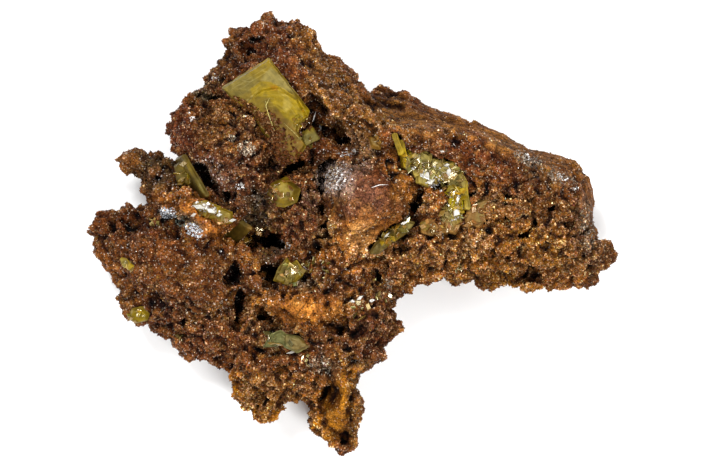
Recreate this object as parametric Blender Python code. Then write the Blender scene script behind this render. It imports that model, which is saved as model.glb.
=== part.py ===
"""Wulfenite cluster: thin yellow plates on a hand-sized lump of rusty limonite gossan.

Metres, +Z up. The lump lies on its trimmed flat back with its display face up, and +Y is the
top of the specimen as it is shown. The origin is the middle of its footprint, at the underside.
Lengths below are millimetres, and MM turns them into metres where a mesh is made.
"""
import math

import bmesh
import bpy
import numpy as np
from mathutils import Vector, geometry, noise
from mathutils.bvhtree import BVHTree

# ---------------------------------------------------------------- driving dimensions
MM = 0.001
LENGTH = 80.8            # left lobe to the corner of the right arm
BREADTH = 66.7           # top peak to the bottom prong
SEAT_GAP = 0.3           # clearance between a crystal and its socket in the gossan
TRIMMED = -2.5           # level of the untrimmed back where the saw later cuts it flat
ROLL = 6.0               # how far in from a lobe's outline its rounded side reaches
ROLL_SHARE = 0.75        # the same in a narrow lobe, as a share of its half width
RIM_SHARE = 0.5          # height of a lobe's widest line, between its back and its face
SHEET_SPACING = 1.3      # distance between the points that a lobe's surface is made from
FORM_VOXEL = 0.8         # grain of the joined lobes
RELIEF_VOXEL = 0.62      # grain of the lobes once roughened
GOSSAN_TRIANGLES = 7000  # budget for the roughened lump before it is trimmed and socketed
BOX_MARGIN = 10.0        # how far the trimming block passes the lump
SIDE_CARVE = 6.5         # deepest hollowing of the sides below their widest line
SIDE_CARVE_ABOVE = 2.0   # and above it
CARVE_BIAS = 0.25        # the higher, the more of the sides is hollowed
WIDEST_LEVEL = 11.0      # about how high the widest line runs
WIDEST_BAND = 1.0        # the sides are left whole this near to the widest line
WIDEST_FADE = 4.0        # and carved to their full depth this much farther away
LEDGE_BREADTH = 8.0      # of the ledges that the carving leaves
LEDGE_HEIGHT = 4.0
OUTLINE_SWELL = 0.35     # makes up for what the voxel grain takes off the outline
FACE_SOFTNESS = 2.0      # rounds the surface where it passes a spot height
WELD_DISTANCE = 1e-4
PLAN_ACCURACY = 1e-5
KNOB_FLATNESS = 0.9      # height of a knob as a share of its breadth
KNOB_SINK = 0.25         # share of its radius that a knob's middle lies below the face
LUMP_SIZE, LUMP_HEIGHT = 4.6, 1.0
GRIT_SIZE, GRIT_HEIGHT = 1.9, 0.5
CELL_SIZE, CELL_HEIGHT = 2.6, 0.8
CELL_MIDDLE = 0.45       # distance from a cell's middle, in cells, that is neither raised nor sunk
SMOOTH_SHARE = 0.3       # roughness left on the smooth places
SMOOTH_CORE = 0.6        # share of a smooth place's radius that is smooth right through
HOLLOW_FLOOR = 3.0       # no hollow goes below this level
HOLLOW_REACH = 1.35      # where a hollow's wall starts, in half widths from its path
HOLLOW_WALL = 0.55       # breadth of that wall, in half widths
HOLLOW_RIM = 3.0         # the face round a hollow is looked for this near, in half widths
HOLLOW_HEADROOM = 6.0    # how far below its floor a hollow stops pressing the surface down
HOLLOW_FADE = 4.0        # and over what height that stops
CEILING = 100.0          # a level above the whole specimen
SEED = 11

# ---------------------------------------------------------------- gossan lobes
# Each lobe has an outline (x, y), and spot heights (x, y, z) of its face and of its underside.
ARM = dict(
    outline=[
        (-22.6, 20.2), (-23.6, 21.8), (-22.4, 22.5), (-22.1, 24.1), (-21.4, 25.2), (-19.7, 26.2),
        (-19.0, 26.7), (-18.7, 27.9), (-18.2, 28.5), (-18.5, 30.1), (-17.8, 31.0), (-16.0, 31.8),
        (-14.9, 31.3), (-14.2, 32.1), (-12.6, 32.5), (-11.0, 32.6), (-9.4, 33.0), (-8.5, 32.5),
        (-6.8, 30.7), (-5.2, 28.3), (-4.3, 27.3), (-2.0, 26.8), (0.1, 25.2), (1.2, 23.6),
        (2.6, 22.0), (4.4, 21.5), (7.7, 21.2), (9.7, 20.7), (10.9, 20.5), (13.8, 19.2),
        (16.1, 18.5), (17.4, 17.8), (19.3, 17.0), (22.8, 15.4), (25.3, 13.8), (27.1, 13.3),
        (31.8, 12.6), (33.7, 11.6), (35.1, 10.2), (36.2, 8.6), (36.9, 5.0), (37.1, 3.4),
        (37.7, 0.6), (38.4, 0.2), (40.3, -1.9), (39.8, -3.3), (38.1, -5.4), (37.4, -6.4),
        (35.0, -7.0), (31.1, -7.5), (29.9, -7.6), (29.5, -8.6), (28.6, -9.2), (26.5, -9.3),
        (25.0, -8.0), (22.7, -7.1), (21.2, -7.6), (20.3, -7.3), (19.1, -7.4), (17.9, -6.9),
        (15.5, -6.5), (14.3, -7.0), (12.3, -8.0), (7.9, -7.4), (7.2, -8.3), (5.2, -10.0),
        (3.0, -16.0), (-6.0, -20.0), (-16.0, -19.0), (-24.0, -14.0), (-29.5, -6.0),
        (-30.5, 1.0), (-27.5, 7.0), (-25.0, 10.5), (-25.0, 14.5), (-23.0, 17.0)],
    heights=[
        (-21.1, 23.4, 17.0), (-20.3, 20.4, 20.0), (-16.6, 21.1, 23.5), (-16.6, 16.6, 23.5),
        (-12.8, 14.4, 24.0), (-9.1, 12.9, 23.0), (-17.3, 26.4, 20.0), (-16.6, 30.1, 17.0),
        (-13.3, 30.1, 20.0), (-9.8, 31.2, 21.0), (-9.8, 26.4, 24.5), (-7.6, 28.6, 24.0),
        (-6.1, 24.1, 27.0), (-3.1, 21.1, 28.0), (-7.6, 21.9, 25.0), (-1.6, 17.4, 26.5),
        (0.7, 19.6, 28.5), (-6.1, 29.4, 20.0), (-3.8, 26.4, 20.0), (-0.8, 24.6, 18.0),
        (0.2, 22.6, 22.0), (2.2, 20.4, 26.5), (3.7, 21.3, 20.0), (6.7, 21.1, 20.0),
        (9.7, 20.7, 18.0), (5.9, 18.6, 20.5), (9.7, 18.1, 19.5), (13.4, 17.1, 18.5),
        (17.2, 16.6, 17.0), (4.4, 17.1, 27.0), (7.4, 15.6, 27.5), (11.2, 15.0, 27.0),
        (14.9, 15.0, 26.0), (19.4, 14.4, 24.5), (23.9, 12.6, 23.5), (28.4, 10.2, 22.5),
        (32.2, 8.4, 21.0), (7.4, 12.9, 25.0), (11.9, 12.2, 24.5), (16.4, 11.4, 24.5),
        (22.4, 9.9, 23.5), (26.9, 8.7, 22.0), (22.4, 14.7, 19.0), (28.4, 12.2, 18.0),
        (32.9, 10.7, 17.0), (35.6, 7.6, 15.0), (35.9, 2.4, 14.0), (11.9, 9.2, 21.0),
        (14.2, 6.1, 19.5), (16.4, 3.1, 19.5), (18.7, 6.1, 19.5), (20.9, 5.4, 22.0),
        (25.4, 5.4, 23.0), (29.9, 4.6, 22.5), (33.7, 3.1, 20.0), (19.4, -0.6, 22.0),
        (25.4, -0.6, 22.5), (31.4, -1.3, 21.5), (35.2, -2.1, 18.0), (38.2, -2.1, 13.0),
        (14.9, -1.3, 21.5), (11.9, -3.6, 20.0), (7.4, -4.3, 20.0), (17.9, -5.1, 18.0),
        (25.4, -5.4, 18.0), (31.4, -5.8, 16.0), (35.9, -5.4, 13.5), (8.9, -7.0, 15.0),
        (4.4, -6.6, 18.0), (-0.1, -6.6, 20.0), (1.4, 14.4, 24.0), (-3.1, 11.4, 21.0),
        (-7.6, 5.4, 20.0), (-7.6, -2.6, 18.0), (-12.1, 2.4, 17.5), (-18.1, 11.4, 19.0),
        (-13.0, -4.5, 17.5), (-19.0, 2.0, 17.5), (-22.5, 7.0, 17.0), (-21.0, -4.0, 17.0),
        (-12.0, -12.0, 17.0), (-22.0, -10.0, 15.0), (-4.0, -15.0, 17.0)],
    under=[
        (-10.0, 0.0, TRIMMED), (5.0, 8.0, TRIMMED), (18.0, 5.0, TRIMMED), (-4.0, 17.0, TRIMMED),
        (-16.0, -8.0, TRIMMED), (26.0, 3.0, 0.5), (33.0, 1.0, 3.5), (38.0, -2.0, 6.5),
        (-12.0, 25.0, 1.0), (-14.0, 31.0, 5.0), (-20.0, 22.0, 5.0)])

TONGUE = dict(
    outline=[
        (-26.4, 20.3), (-24.9, 21.1), (-23.2, 20.7), (-22.1, 19.5), (-20.0, 19.5), (-16.0, 18.5),
        (-12.0, 15.0), (-10.5, 11.0), (-12.0, 8.6), (-12.4, 4.6), (-13.3, 2.7),
        (-15.1, 2.1), (-17.3, 3.8), (-19.3, 5.7), (-20.6, 7.5), (-21.8, 9.6), (-23.2, 10.9),
        (-24.4, 11.8), (-26.1, 12.4), (-27.4, 14.2), (-27.9, 15.9), (-27.5, 18.1)],
    heights=[
        (-25.9, 18.1, 23.0), (-26.3, 15.1, 22.5), (-23.3, 17.4, 26.0), (-21.8, 14.4, 26.5),
        (-24.1, 14.4, 25.0), (-19.6, 12.2, 27.0), (-16.6, 9.2, 26.5), (-20.3, 9.9, 25.5),
        (-14.3, 6.1, 25.0), (-15.8, 3.9, 23.5), (-18.1, 6.1, 23.5), (-18.0, 17.0, 25.0),
        (-14.0, 13.5, 25.5)],
    under=[(-20.0, 12.0, 9.0)])

HORN = dict(
    outline=[
        (-35.0, 11.5), (-34.2, 12.0), (-32.5, 12.2), (-31.6, 12.8), (-30.4, 12.7), (-28.3, 12.6),
        (-27.2, 11.5), (-26.2, 10.6), (-24.8, 9.2), (-23.3, 6.9), (-22.9, 4.6), (-26.3, 3.9),
        (-28.6, 4.6), (-29.7, 6.2), (-31.2, 6.9), (-32.5, 7.5), (-33.0, 8.6), (-33.9, 9.5),
        (-34.7, 10.2)],
    heights=[
        (-33.8, 11.1, 12.0), (-31.6, 10.7, 14.5), (-31.6, 8.4, 13.5), (-28.6, 9.2, 16.0),
        (-28.6, 6.9, 16.0), (-25.9, 8.4, 17.0), (-24.4, 5.8, 17.5)],
    under=[(-34.0, 11.0, 6.0), (-27.0, 8.0, 2.0)])

SHELL = dict(
    outline=[
        (-29.4, 5.2), (-28.1, 6.9), (-25.6, 7.5), (-23.8, 6.8), (-21.2, 6.0), (-18.4, 4.6),
        (-16.6, 2.8), (-17.2, 0.8), (-19.1, 0.0), (-19.3, -0.8), (-21.8, -1.2), (-23.8, -0.4),
        (-25.2, 1.2), (-27.2, 2.3), (-29.2, 3.8)],
    heights=[
        (-28.6, 5.0, 19.0), (-26.3, 6.1, 20.5), (-24.1, 4.6, 22.0), (-21.8, 2.1, 22.5),
        (-19.9, 0.0, 22.0), (-20.5, 4.2, 21.5), (-18.0, 2.6, 20.5)],
    under=[(-12.0, 0.0, 6.0)])

LEFT_LOBE = dict(
    outline=[
        (-37.3, 4.4), (-36.3, 5.0), (-34.9, 4.8), (-33.2, 5.4), (-31.9, 5.0), (-30.4, 5.2),
        (-26.3, 4.6), (-23.3, 3.1), (-19.3, -0.6), (-15.1, -3.9), (-12.4, -9.6), (-12.4, -15.6),
        (-14.8, -20.1), (-18.6, -22.5), (-19.4, -21.1), (-20.4, -21.0), (-22.0, -19.9),
        (-23.2, -19.4), (-24.2, -19.1), (-24.5, -18.0), (-25.4, -17.2), (-26.5, -16.5),
        (-27.9, -16.8), (-28.9, -15.9), (-30.1, -15.7), (-31.1, -14.8), (-33.5, -13.3),
        (-34.3, -10.9), (-34.2, -10.0), (-35.2, -9.9), (-36.4, -9.7), (-35.3, -8.2),
        (-35.4, -7.2), (-37.2, -5.3), (-38.9, -3.6), (-39.9, -3.0), (-39.9, -1.3),
        (-39.8, 0.3), (-38.7, 1.4), (-37.7, 2.5)],
    heights=[
        (-37.6, 0.9, 15.0), (-36.1, 3.6, 14.0), (-33.1, 1.6, 19.0), (-28.6, 0.1, 20.5),
        (-22.6, -2.1, 21.5), (-18.1, -3.3, 20.0), (-34.6, -3.6, 16.0), (-30.1, -7.3, 18.0),
        (-25.6, -5.1, 20.5), (-21.1, -9.6, 19.5), (-16.6, -14.1, 17.5), (-22.6, -15.6, 15.0),
        (-27.8, -12.9, 14.0), (-31.6, -11.4, 12.0), (-18.8, -19.3, 14.0), (-36.1, -5.1, 12.0),
        (-14.3, -9.6, 17.0)],
    under=[(-15.0, -9.0, TRIMMED), (-24.0, -6.0, TRIMMED), (-31.0, -4.0, 0.5),
           (-38.0, 0.0, 5.0), (-20.0, -18.0, 2.0), (-30.0, -13.0, 4.0)])

LOWER_PRONG = dict(
    outline=[
        (-18.9, -22.1), (-18.4, -24.0), (-17.2, -26.1), (-16.2, -27.7), (-15.1, -28.2),
        (-14.1, -29.4), (-12.7, -29.4), (-11.5, -29.4), (-10.5, -28.7), (-10.2, -28.0),
        (-9.2, -27.6), (-8.9, -26.2), (-8.3, -25.4), (-6.7, -24.9), (-4.3, -25.2), (-1.6, -23.1),
        (0.2, -18.6), (0.7, -14.1), (-4.6, -8.0), (-10.6, -6.0), (-15.1, -9.0), (-18.4, -17.8)],
    heights=[
        (-15.1, -17.1, 18.5), (-7.6, -17.1, 20.0), (-10.6, -12.1, 19.0), (-3.1, -15.6, 19.0),
        (-15.8, -21.6, 16.0), (-12.1, -24.6, 14.0), (-12.8, -27.9, 10.5), (-7.6, -22.3, 16.0),
        (-10.6, -26.8, 11.0), (-3.1, -21.6, 16.5)],
    under=[(-10.0, -10.0, TRIMMED), (-12.0, -19.0, 1.0), (-13.0, -27.0, 3.5)])

BOTTOM_PRONG = dict(
    outline=[
        (-7.0, -25.1), (-6.3, -25.8), (-6.1, -27.4), (-7.2, -27.9), (-6.9, -28.7), (-7.2, -29.4),
        (-6.2, -30.1), (-4.7, -29.8), (-4.2, -30.7), (-2.8, -32.1), (-1.5, -33.5), (-0.1, -33.7),
        (0.6, -33.3), (1.5, -33.7), (2.1, -32.5), (1.9, -31.0), (2.1, -29.8), (1.6, -27.6),
        (1.4, -24.6), (1.7, -23.1), (1.7, -21.6), (2.2, -20.4), (3.0, -19.8), (4.0, -18.8),
        (4.0, -17.4), (4.8, -16.4), (6.2, -15.9), (7.3, -15.7), (7.6, -14.4), (8.2, -13.8),
        (7.7, -12.3), (7.0, -10.8), (6.4, -9.6), (5.0, -5.0), (-0.1, -4.0), (-1.9, -14.1),
        (-2.8, -19.3), (-4.6, -24.0)],
    heights=[
        (-0.8, -12.6, 20.0), (2.9, -11.1, 20.0), (4.4, -14.1, 18.5), (6.7, -12.9, 15.0),
        (2.2, -17.1, 18.0), (-0.1, -20.1, 18.0), (-0.7, -24.6, 16.0), (-1.6, -28.3, 13.5),
        (-3.1, -30.6, 11.5), (-0.4, -31.8, 11.5), (1.0, -27.6, 14.0), (1.1, -31.3, 11.0),
        (-5.3, -28.3, 11.0)],
    under=[(0.0, -10.0, TRIMMED), (1.0, -18.0, 1.0), (-1.0, -31.0, 4.5)])

BOULDER = dict(
    outline=[
        (-4.3, 9.9), (-3.1, 11.4), (-0.8, 12.6), (1.4, 12.9), (4.1, 12.6), (6.2, 11.4),
        (7.7, 9.6), (9.2, 7.6), (9.5, 5.4), (8.9, 3.1), (7.4, 1.6), (5.6, 0.1), (3.2, -1.3),
        (0.7, -3.1), (-1.3, -3.3), (-3.1, -2.1), (-4.1, 0.1), (-4.6, 3.1), (-4.4, 6.1)],
    heights=[
        (2.2, 4.6, 29.5), (-0.8, 9.2, 28.0), (4.4, 9.2, 28.5), (6.7, 5.4, 28.0),
        (-0.1, -0.6, 27.0), (3.7, 0.9, 27.5), (-2.3, 3.9, 28.0)],
    under=[(2.0, 5.0, 8.0)])

KNUCKLE = dict(
    outline=[
        (-13.0, 6.9), (-11.3, 8.4), (-7.6, 9.2), (-5.2, 8.1), (-4.7, 3.1), (-4.6, -0.3),
        (-6.1, -3.0), (-8.3, -3.6), (-10.6, -1.8), (-12.4, 1.5)],
    heights=[
        (-10.6, 6.1, 25.5), (-7.6, 6.9, 26.5), (-6.8, 3.1, 25.5), (-9.8, 2.4, 24.5),
        (-7.6, -1.3, 22.5)],
    under=[(-12.0, 0.0, 6.0)])

LEDGE = dict(
    outline=[
        (-16.6, -8.4), (-14.3, -7.8), (-9.8, -7.5), (-4.6, -7.6), (-1.3, -8.5), (0.2, -10.8),
        (-1.6, -13.3), (-4.6, -13.8), (-7.6, -13.0), (-9.8, -12.3), (-13.3, -11.2),
        (-15.1, -10.8), (-16.3, -9.9)],
    heights=[
        (-15.1, -9.6, 20.5), (-12.1, -9.6, 22.0), (-7.6, -10.0, 23.5), (-3.8, -10.3, 24.0),
        (-1.6, -10.8, 22.5)],
    under=[(-12.0, 0.0, 6.0)])

BLOCK = dict(
    outline=[
        (10.0, 6.9), (11.9, 7.5), (13.9, 7.2), (14.3, 5.7), (13.6, 4.2), (11.6, 3.8),
        (10.1, 4.5)],
    heights=[(11.0, 5.8, 24.0), (13.0, 5.8, 24.5), (11.8, 4.6, 23.5)],
    under=[(12.0, 5.5, 10.0)])

LOBES = [ARM, TONGUE, HORN, SHELL, LEFT_LOBE, LOWER_PRONG, BOTTOM_PRONG, BOULDER, KNUCKLE,
         LEDGE, BLOCK]

# Rounded limonite knobs that stand out of the lobes: (x, y, radius).
KNOBS = [
    (19.9, 6.1, 1.5), (22.4, 4.6, 1.3), (24.7, 5.7, 1.5), (22.0, 2.9, 1.1), (24.2, 2.1, 1.3),
    (26.9, 4.6, 1.5), (29.2, 5.7, 1.7), (30.8, 3.1, 1.3), (28.1, 2.1, 1.1), (25.4, 0.0, 1.1),
    (20.2, 3.6, 1.0), (29.9, 0.6, 1.3), (27.4, -1.1, 1.3), (32.9, 5.4, 1.5), (32.2, -0.6, 1.3),
    (22.4, -1.3, 1.5), (17.9, -1.3, 1.5), (14.9, -3.6, 1.5), (11.9, -2.1, 1.3),
    (19.4, -4.3, 1.5), (23.9, -3.9, 1.3), (29.2, -3.9, 1.5), (34.4, -3.9, 1.5),
    (-7.6, 7.6, 1.4), (-6.1, 5.4, 1.4), (-9.1, 3.1, 1.8), (-12.1, 3.6, 1.4), (-6.8, 1.6, 1.4),
    (-9.8, 0.1, 1.4), (-13.6, -1.1, 1.2), (-17.0, -1.1, 1.3), (-14.3, -3.3, 1.1),
    (-21.8, -16.3, 1.4), (-24.1, -14.8, 1.4), (-26.3, -12.6, 1.5), (-20.3, -13.3, 1.6),
    (-16.6, -16.3, 1.5), (-20.3, 24.1, 1.4), (-18.8, 25.6, 1.3), (-21.5, 22.2, 1.2),
    (-17.0, 30.1, 1.6), (-16.1, 24.9, 1.4), (-13.3, 30.9, 1.4), (-32.4, 11.4, 1.2),
    (-29.6, 11.4, 1.2), (-37.0, 3.6, 1.2), (-34.6, 3.8, 1.2), (-39.0, 0.4, 1.3),
    (-35.0, -9.0, 1.0), (6.9, -13.6, 1.2), (-11.4, -27.8, 1.3), (-9.8, -26.4, 1.2),
    (1.0, -31.6, 1.2), (0.9, -26.4, 1.2), (-22.9, 21.6, 1.1), (-15.8, 31.0, 1.2)]

# Hollows and cracks: (path over the face, half width, depth).
HOLLOWS = [
    ([(-5.6, 19.2), (-4.6, 17.7), (-4.9, 16.3), (-2.6, 15.9), (-1.1, 14.1)], 1.3, 12.0),
    ([(-9.2, 10.2), (-7.6, 10.9)], 1.2, 9.0),
    ([(-23.2, 10.3), (-21.5, 8.4), (-19.6, 6.3)], 0.9, 9.0),
    ([(-18.4, 0.3), (-18.0, 0.0)], 0.9, 6.0),
    ([(-14.3, 0.0), (-12.7, -0.6), (-10.9, -1.2)], 1.3, 10.0),
    ([(-11.9, -4.5), (-11.8, -6.9)], 0.9, 8.0),
    ([(-17.6, -4.6), (-18.2, -6.6)], 0.9, 5.0),
    ([(-16.9, -9.3), (-17.2, -12.3)], 1.1, 7.0),
    ([(-13.3, -12.0), (-11.8, -13.7)], 1.0, 6.0),
    ([(-1.1, -30.6), (-0.6, -29.8)], 1.1, 3.5),
    ([(-2.6, -23.1), (-4.1, -25.1)], 1.1, 4.0),
    ([(1.1, -21.9), (1.2, -22.6)], 0.8, 4.0),
    ([(0.1, -24.3), (0.1, -27.3)], 0.6, 2.0),
    ([(10.0, 7.2), (9.7, 4.6), (9.4, 2.7)], 0.7, 6.0),
    ([(-4.0, 10.7), (-4.3, 6.9), (-4.4, 3.1), (-4.0, 0.6)], 0.7, 7.0),
    ([(8.0, -0.8), (7.1, -2.9)], 0.6, 3.0),
    ([(5.2, -2.9), (4.1, -5.4), (3.2, -8.1)], 0.8, 5.0),
    ([(20.2, 1.6), (21.1, 3.0)], 0.7, 3.0),
    ([(22.4, 1.6), (23.0, 3.4), (23.9, 5.7)], 0.6, 3.0),
    ([(28.6, 4.3), (28.4, 3.4)], 0.7, 3.0),
    ([(26.5, 2.1), (25.7, -0.3)], 0.7, 3.0),
    ([(-25.6, -0.6), (-25.0, -2.2)], 0.5, 2.0),
    ([(-29.5, -9.6), (-29.0, -9.4)], 0.9, 3.0),
    ([(-32.9, 2.7), (-32.6, 1.6)], 1.0, 4.0),
    ([(-27.4, 1.5), (-26.4, 1.3)], 1.2, 4.0),
    ([(-19.6, -15.1), (-19.3, -17.4), (-19.7, -19.9)], 0.6, 4.0),
    ([(-22.6, 19.8), (-21.7, 18.0), (-20.6, 16.2)], 0.7, 4.0),
    ([(-2.0, -12.6), (-1.6, -13.2)], 0.9, 3.0),
    ([(0.5, -14.1), (1.0, -14.6)], 0.8, 3.0),
    ([(26.3, -5.7), (27.8, -6.0)], 1.2, 5.0),
    ([(-14.6, 28.6), (-15.5, 27.0)], 1.0, 6.0),
    ([(2.6, 21.0), (5.2, 20.4), (7.9, 20.1)], 0.8, 2.5)]

# Places where the gossan is smoother than elsewhere: (x, y, radius).
SMOOTH_PLACES = [
    (8.0, 18.0, 4.0), (12.5, 17.4, 3.5), (2.2, 4.0, 6.0), (36.0, 6.0, 3.0), (20.0, 15.5, 3.0),
    (27.0, 12.2, 3.0), (-2.5, 25.0, 2.5), (-31.0, -5.0, 5.0), (-25.0, -5.0, 4.0)]

# ---------------------------------------------------------------- crystals
# A lying plate: corners (x, y), lift above the face (or level from the underside), slope along
# x and y, thickness. A standing plate: its upper edge, lean of its foot, depth, thickness.
BEVEL_SHARE = 0.32       # of a plate's thickness that its slanted rim takes
CORNER_GROWTH = 1.5      # how much more than its sides a socket's corners stand out

MAIN_PLATE = dict(
    corners=[(-19.1, 22.1), (-12.2, 26.4), (-6.2, 18.6), (-6.8, 17.2), (-9.8, 16.5),
             (-13.3, 17.6), (-16.9, 19.9)],
    lift=0.9, slope=(0.05, 0.03), thickness=1.3)
CROSSING_PLATE = dict(
    corners=[(-15.5, 20.2), (-13.3, 21.8), (-10.7, 22.2), (-8.0, 20.4), (-6.5, 17.8),
             (-7.7, 16.6), (-8.0, 15.3), (-6.8, 13.3), (-8.6, 10.9), (-10.9, 12.8),
             (-13.4, 15.9)],
    lift=1.3, slope=(0.16, 0.10), thickness=1.3)
CORNER_PLATE = dict(
    corners=[(-7.1, 15.3), (-5.8, 16.3), (-4.6, 14.5), (-7.0, 13.3)],
    lift=0.5, slope=(-0.1, 0.1), thickness=0.9)
MID_PLATE = dict(
    corners=[(-11.8, 8.2), (-9.7, 9.0), (-7.6, 7.2), (-8.2, 5.4), (-10.0, 4.6), (-12.1, 5.0),
             (-12.8, 6.1)],
    lift=1.3, slope=(0.1, -0.2), thickness=2.6)
TAN_PLATE = dict(
    corners=[(2.9, 14.8), (4.6, 14.2), (4.4, 13.0), (3.1, 13.3)],
    lift=0.9, slope=(0.0, -0.2), thickness=1.0)

SPRAY_THIN_BLADES = [
    dict(edge=[(6.8, 15.3), (7.8, 12.2)], lean=(0.0, 0.05), depth=4.0, level=27.2,
         thickness=0.6),
    dict(edge=[(7.2, 14.2), (8.1, 10.2)], lean=(-0.1, 0.0), depth=3.6, level=25.4,
         thickness=0.6)]
SPRAY_PLATES = [
    dict(corners=[(8.6, 12.6), (10.1, 13.0), (11.9, 12.0), (11.6, 9.6), (9.6, 8.7),
                  (8.8, 10.2)],
         level=23.6, slope=(0.12, 0.2), thickness=0.9),
    dict(corners=[(10.1, 10.4), (12.2, 10.7), (13.0, 8.4), (11.6, 7.3), (9.9, 7.9)],
         level=23.0, slope=(-0.15, 0.25), thickness=1.0),
    dict(corners=[(11.5, 11.7), (13.9, 11.4), (14.6, 9.6), (13.4, 8.4), (11.9, 9.6)],
         level=23.2, slope=(0.1, -0.15), thickness=0.9),
    dict(corners=[(13.7, 10.9), (15.4, 11.0), (15.6, 8.9), (13.9, 8.6)],
         level=22.9, slope=(0.25, 0.1), thickness=1.0),
    dict(corners=[(14.4, 9.5), (16.4, 9.6), (17.3, 7.5), (16.9, 5.4), (16.1, 4.0),
                  (14.9, 4.2), (14.5, 6.9)],
         level=22.2, slope=(0.25, 0.12), thickness=1.1),
    dict(edge=[(16.6, 8.1), (17.3, 4.0)], lean=(-0.4, 0.0), depth=3.0, level=23.0,
         thickness=0.6),
    dict(corners=[(14.9, 5.0), (16.2, 5.1), (16.7, 3.6), (15.6, 2.5), (14.6, 3.2)],
         level=22.1, slope=(0.3, 0.2), thickness=1.1),
    dict(corners=[(13.5, 4.0), (15.2, 4.2), (16.4, 2.1), (15.5, 0.3), (14.0, 0.6),
                  (13.3, 2.1)],
         level=21.6, slope=(0.1, 0.2), thickness=1.3)]
RIGHT_PLATE = dict(
    corners=[(17.3, 4.0), (18.7, 5.1), (20.5, 5.4), (20.9, 3.6), (19.0, 1.2), (17.2, 2.0)],
    lift=0.9, slope=(0.1, 0.1), thickness=0.9)
LEDGE_BLADES = [
    dict(corners=[(4.4, -0.9), (6.2, 1.1), (8.2, 2.2), (9.4, 1.9), (8.2, 0.3), (6.4, -0.9)],
         lift=0.8, slope=(0.1, 0.4), thickness=0.8),
    dict(corners=[(2.8, -2.6), (3.8, -1.0), (5.2, 0.0), (5.6, -1.4), (4.1, -2.7)],
         lift=0.8, slope=(0.0, 0.3), thickness=0.8)]
CORNER_BLADE = dict(
    corners=[(10.4, 1.9), (11.9, 2.5), (13.0, 1.3), (12.2, 0.0), (10.6, 0.4)],
    lift=0.8, slope=(0.1, 0.3), thickness=0.8)
LEFT_BLADES = [
    dict(corners=[(-26.4, 10.4), (-25.1, 11.4), (-23.9, 10.2), (-23.6, 7.9), (-25.9, 7.6)],
         level=18.0, slope=(0.25, 0.1), thickness=0.9),
    dict(edge=[(-25.2, 12.0), (-21.6, 5.8)], lean=(-0.2, -0.1), depth=5.0, level=21.0,
         thickness=0.6)]
GLINT_PLATES = [
    dict(corners=[(-23.4, 4.8), (-21.6, 5.2), (-19.5, 4.3), (-19.7, 2.3), (-22.1, 3.1)],
         lift=0.8, slope=(0.1, 0.2), thickness=0.7),
    dict(corners=[(-20.2, 4.3), (-17.7, 3.5), (-17.6, 2.0), (-19.9, 1.7), (-20.6, 2.6)],
         lift=1.1, slope=(-0.1, 0.2), thickness=0.8)]
CURVED_BLADE = dict(
    edge=[(-17.0, 2.5), (-14.9, 1.0)], lean=(-0.7, -0.6), depth=3.5, lift=1.5, thickness=0.6)
CENTRE_BLADES = [
    dict(corners=[(-11.3, -6.6), (-10.6, -4.8), (-9.4, -3.3), (-8.6, -4.6), (-9.3, -7.2)],
         lift=1.2, slope=(-0.3, 0.1), thickness=0.8),
    dict(corners=[(-10.2, -6.9), (-9.4, -4.4), (-8.2, -3.7), (-7.1, -5.4), (-8.3, -6.8)],
         lift=1.3, slope=(0.25, 0.1), thickness=0.8)]
LOWER_PLATES = [
    dict(corners=[(-13.0, -16.6), (-11.8, -14.7), (-10.4, -14.2), (-9.1, -15.1),
                  (-9.7, -16.2)],
         lift=1.0, slope=(0.0, 0.2), thickness=1.0),
    dict(corners=[(-9.9, -14.5), (-7.6, -15.0), (-6.4, -16.3), (-8.0, -17.2), (-9.9, -16.4)],
         lift=0.7, slope=(0.1, -0.2), thickness=0.9)]
LEFT_EDGE_PLATE = dict(
    corners=[(-33.5, -12.4), (-32.9, -11.1), (-31.4, -10.8), (-30.4, -11.8), (-30.7, -12.7),
             (-32.3, -13.3)],
    lift=0.9, slope=(0.2, 0.3), thickness=1.3)
LEFT_SLIVER = dict(
    corners=[(-34.4, -3.3), (-33.6, -3.5), (-32.4, -4.6), (-33.1, -5.1), (-34.2, -4.2)],
    lift=0.6, slope=(0.1, 0.1), thickness=0.7)

CRYSTALS = {
    "wulfenite_main_plates": [MAIN_PLATE, CROSSING_PLATE],
    "wulfenite_corner_plate": [CORNER_PLATE],
    "wulfenite_mid_crystal": [MID_PLATE],
    "wulfenite_tan_plate": [TAN_PLATE],
    "wulfenite_spray_thin_blades": SPRAY_THIN_BLADES,
    "wulfenite_spray_mass": SPRAY_PLATES,
    "wulfenite_right_plate": [RIGHT_PLATE],
    "wulfenite_ledge_blades": LEDGE_BLADES,
    "wulfenite_ledge_corner_blade": [CORNER_BLADE],
    "wulfenite_left_blades": LEFT_BLADES,
    "wulfenite_glint_plates": GLINT_PLATES,
    "wulfenite_curved_blade": [CURVED_BLADE],
    "wulfenite_centre_blades": CENTRE_BLADES,
    "wulfenite_lower_crystal": LOWER_PLATES,
    "wulfenite_left_edge_crystal": [LEFT_EDGE_PLATE],
    "wulfenite_left_sliver": [LEFT_SLIVER]}

# ---------------------------------------------------------------- materials
GOSSAN = dict(colour=(0.160, 0.058, 0.022), roughness=0.85)
WULFENITE = dict(colour=(0.420, 0.310, 0.060), roughness=0.20)


def make_material(name, colour, roughness):
    material = bpy.data.materials.new(name)
    material.use_nodes = True
    shader = material.node_tree.nodes["Principled BSDF"]
    shader.inputs["Base Color"].default_value = (*colour, 1.0)
    shader.inputs["Roughness"].default_value = roughness
    shader.inputs["Metallic"].default_value = 0.0
    return material


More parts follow.
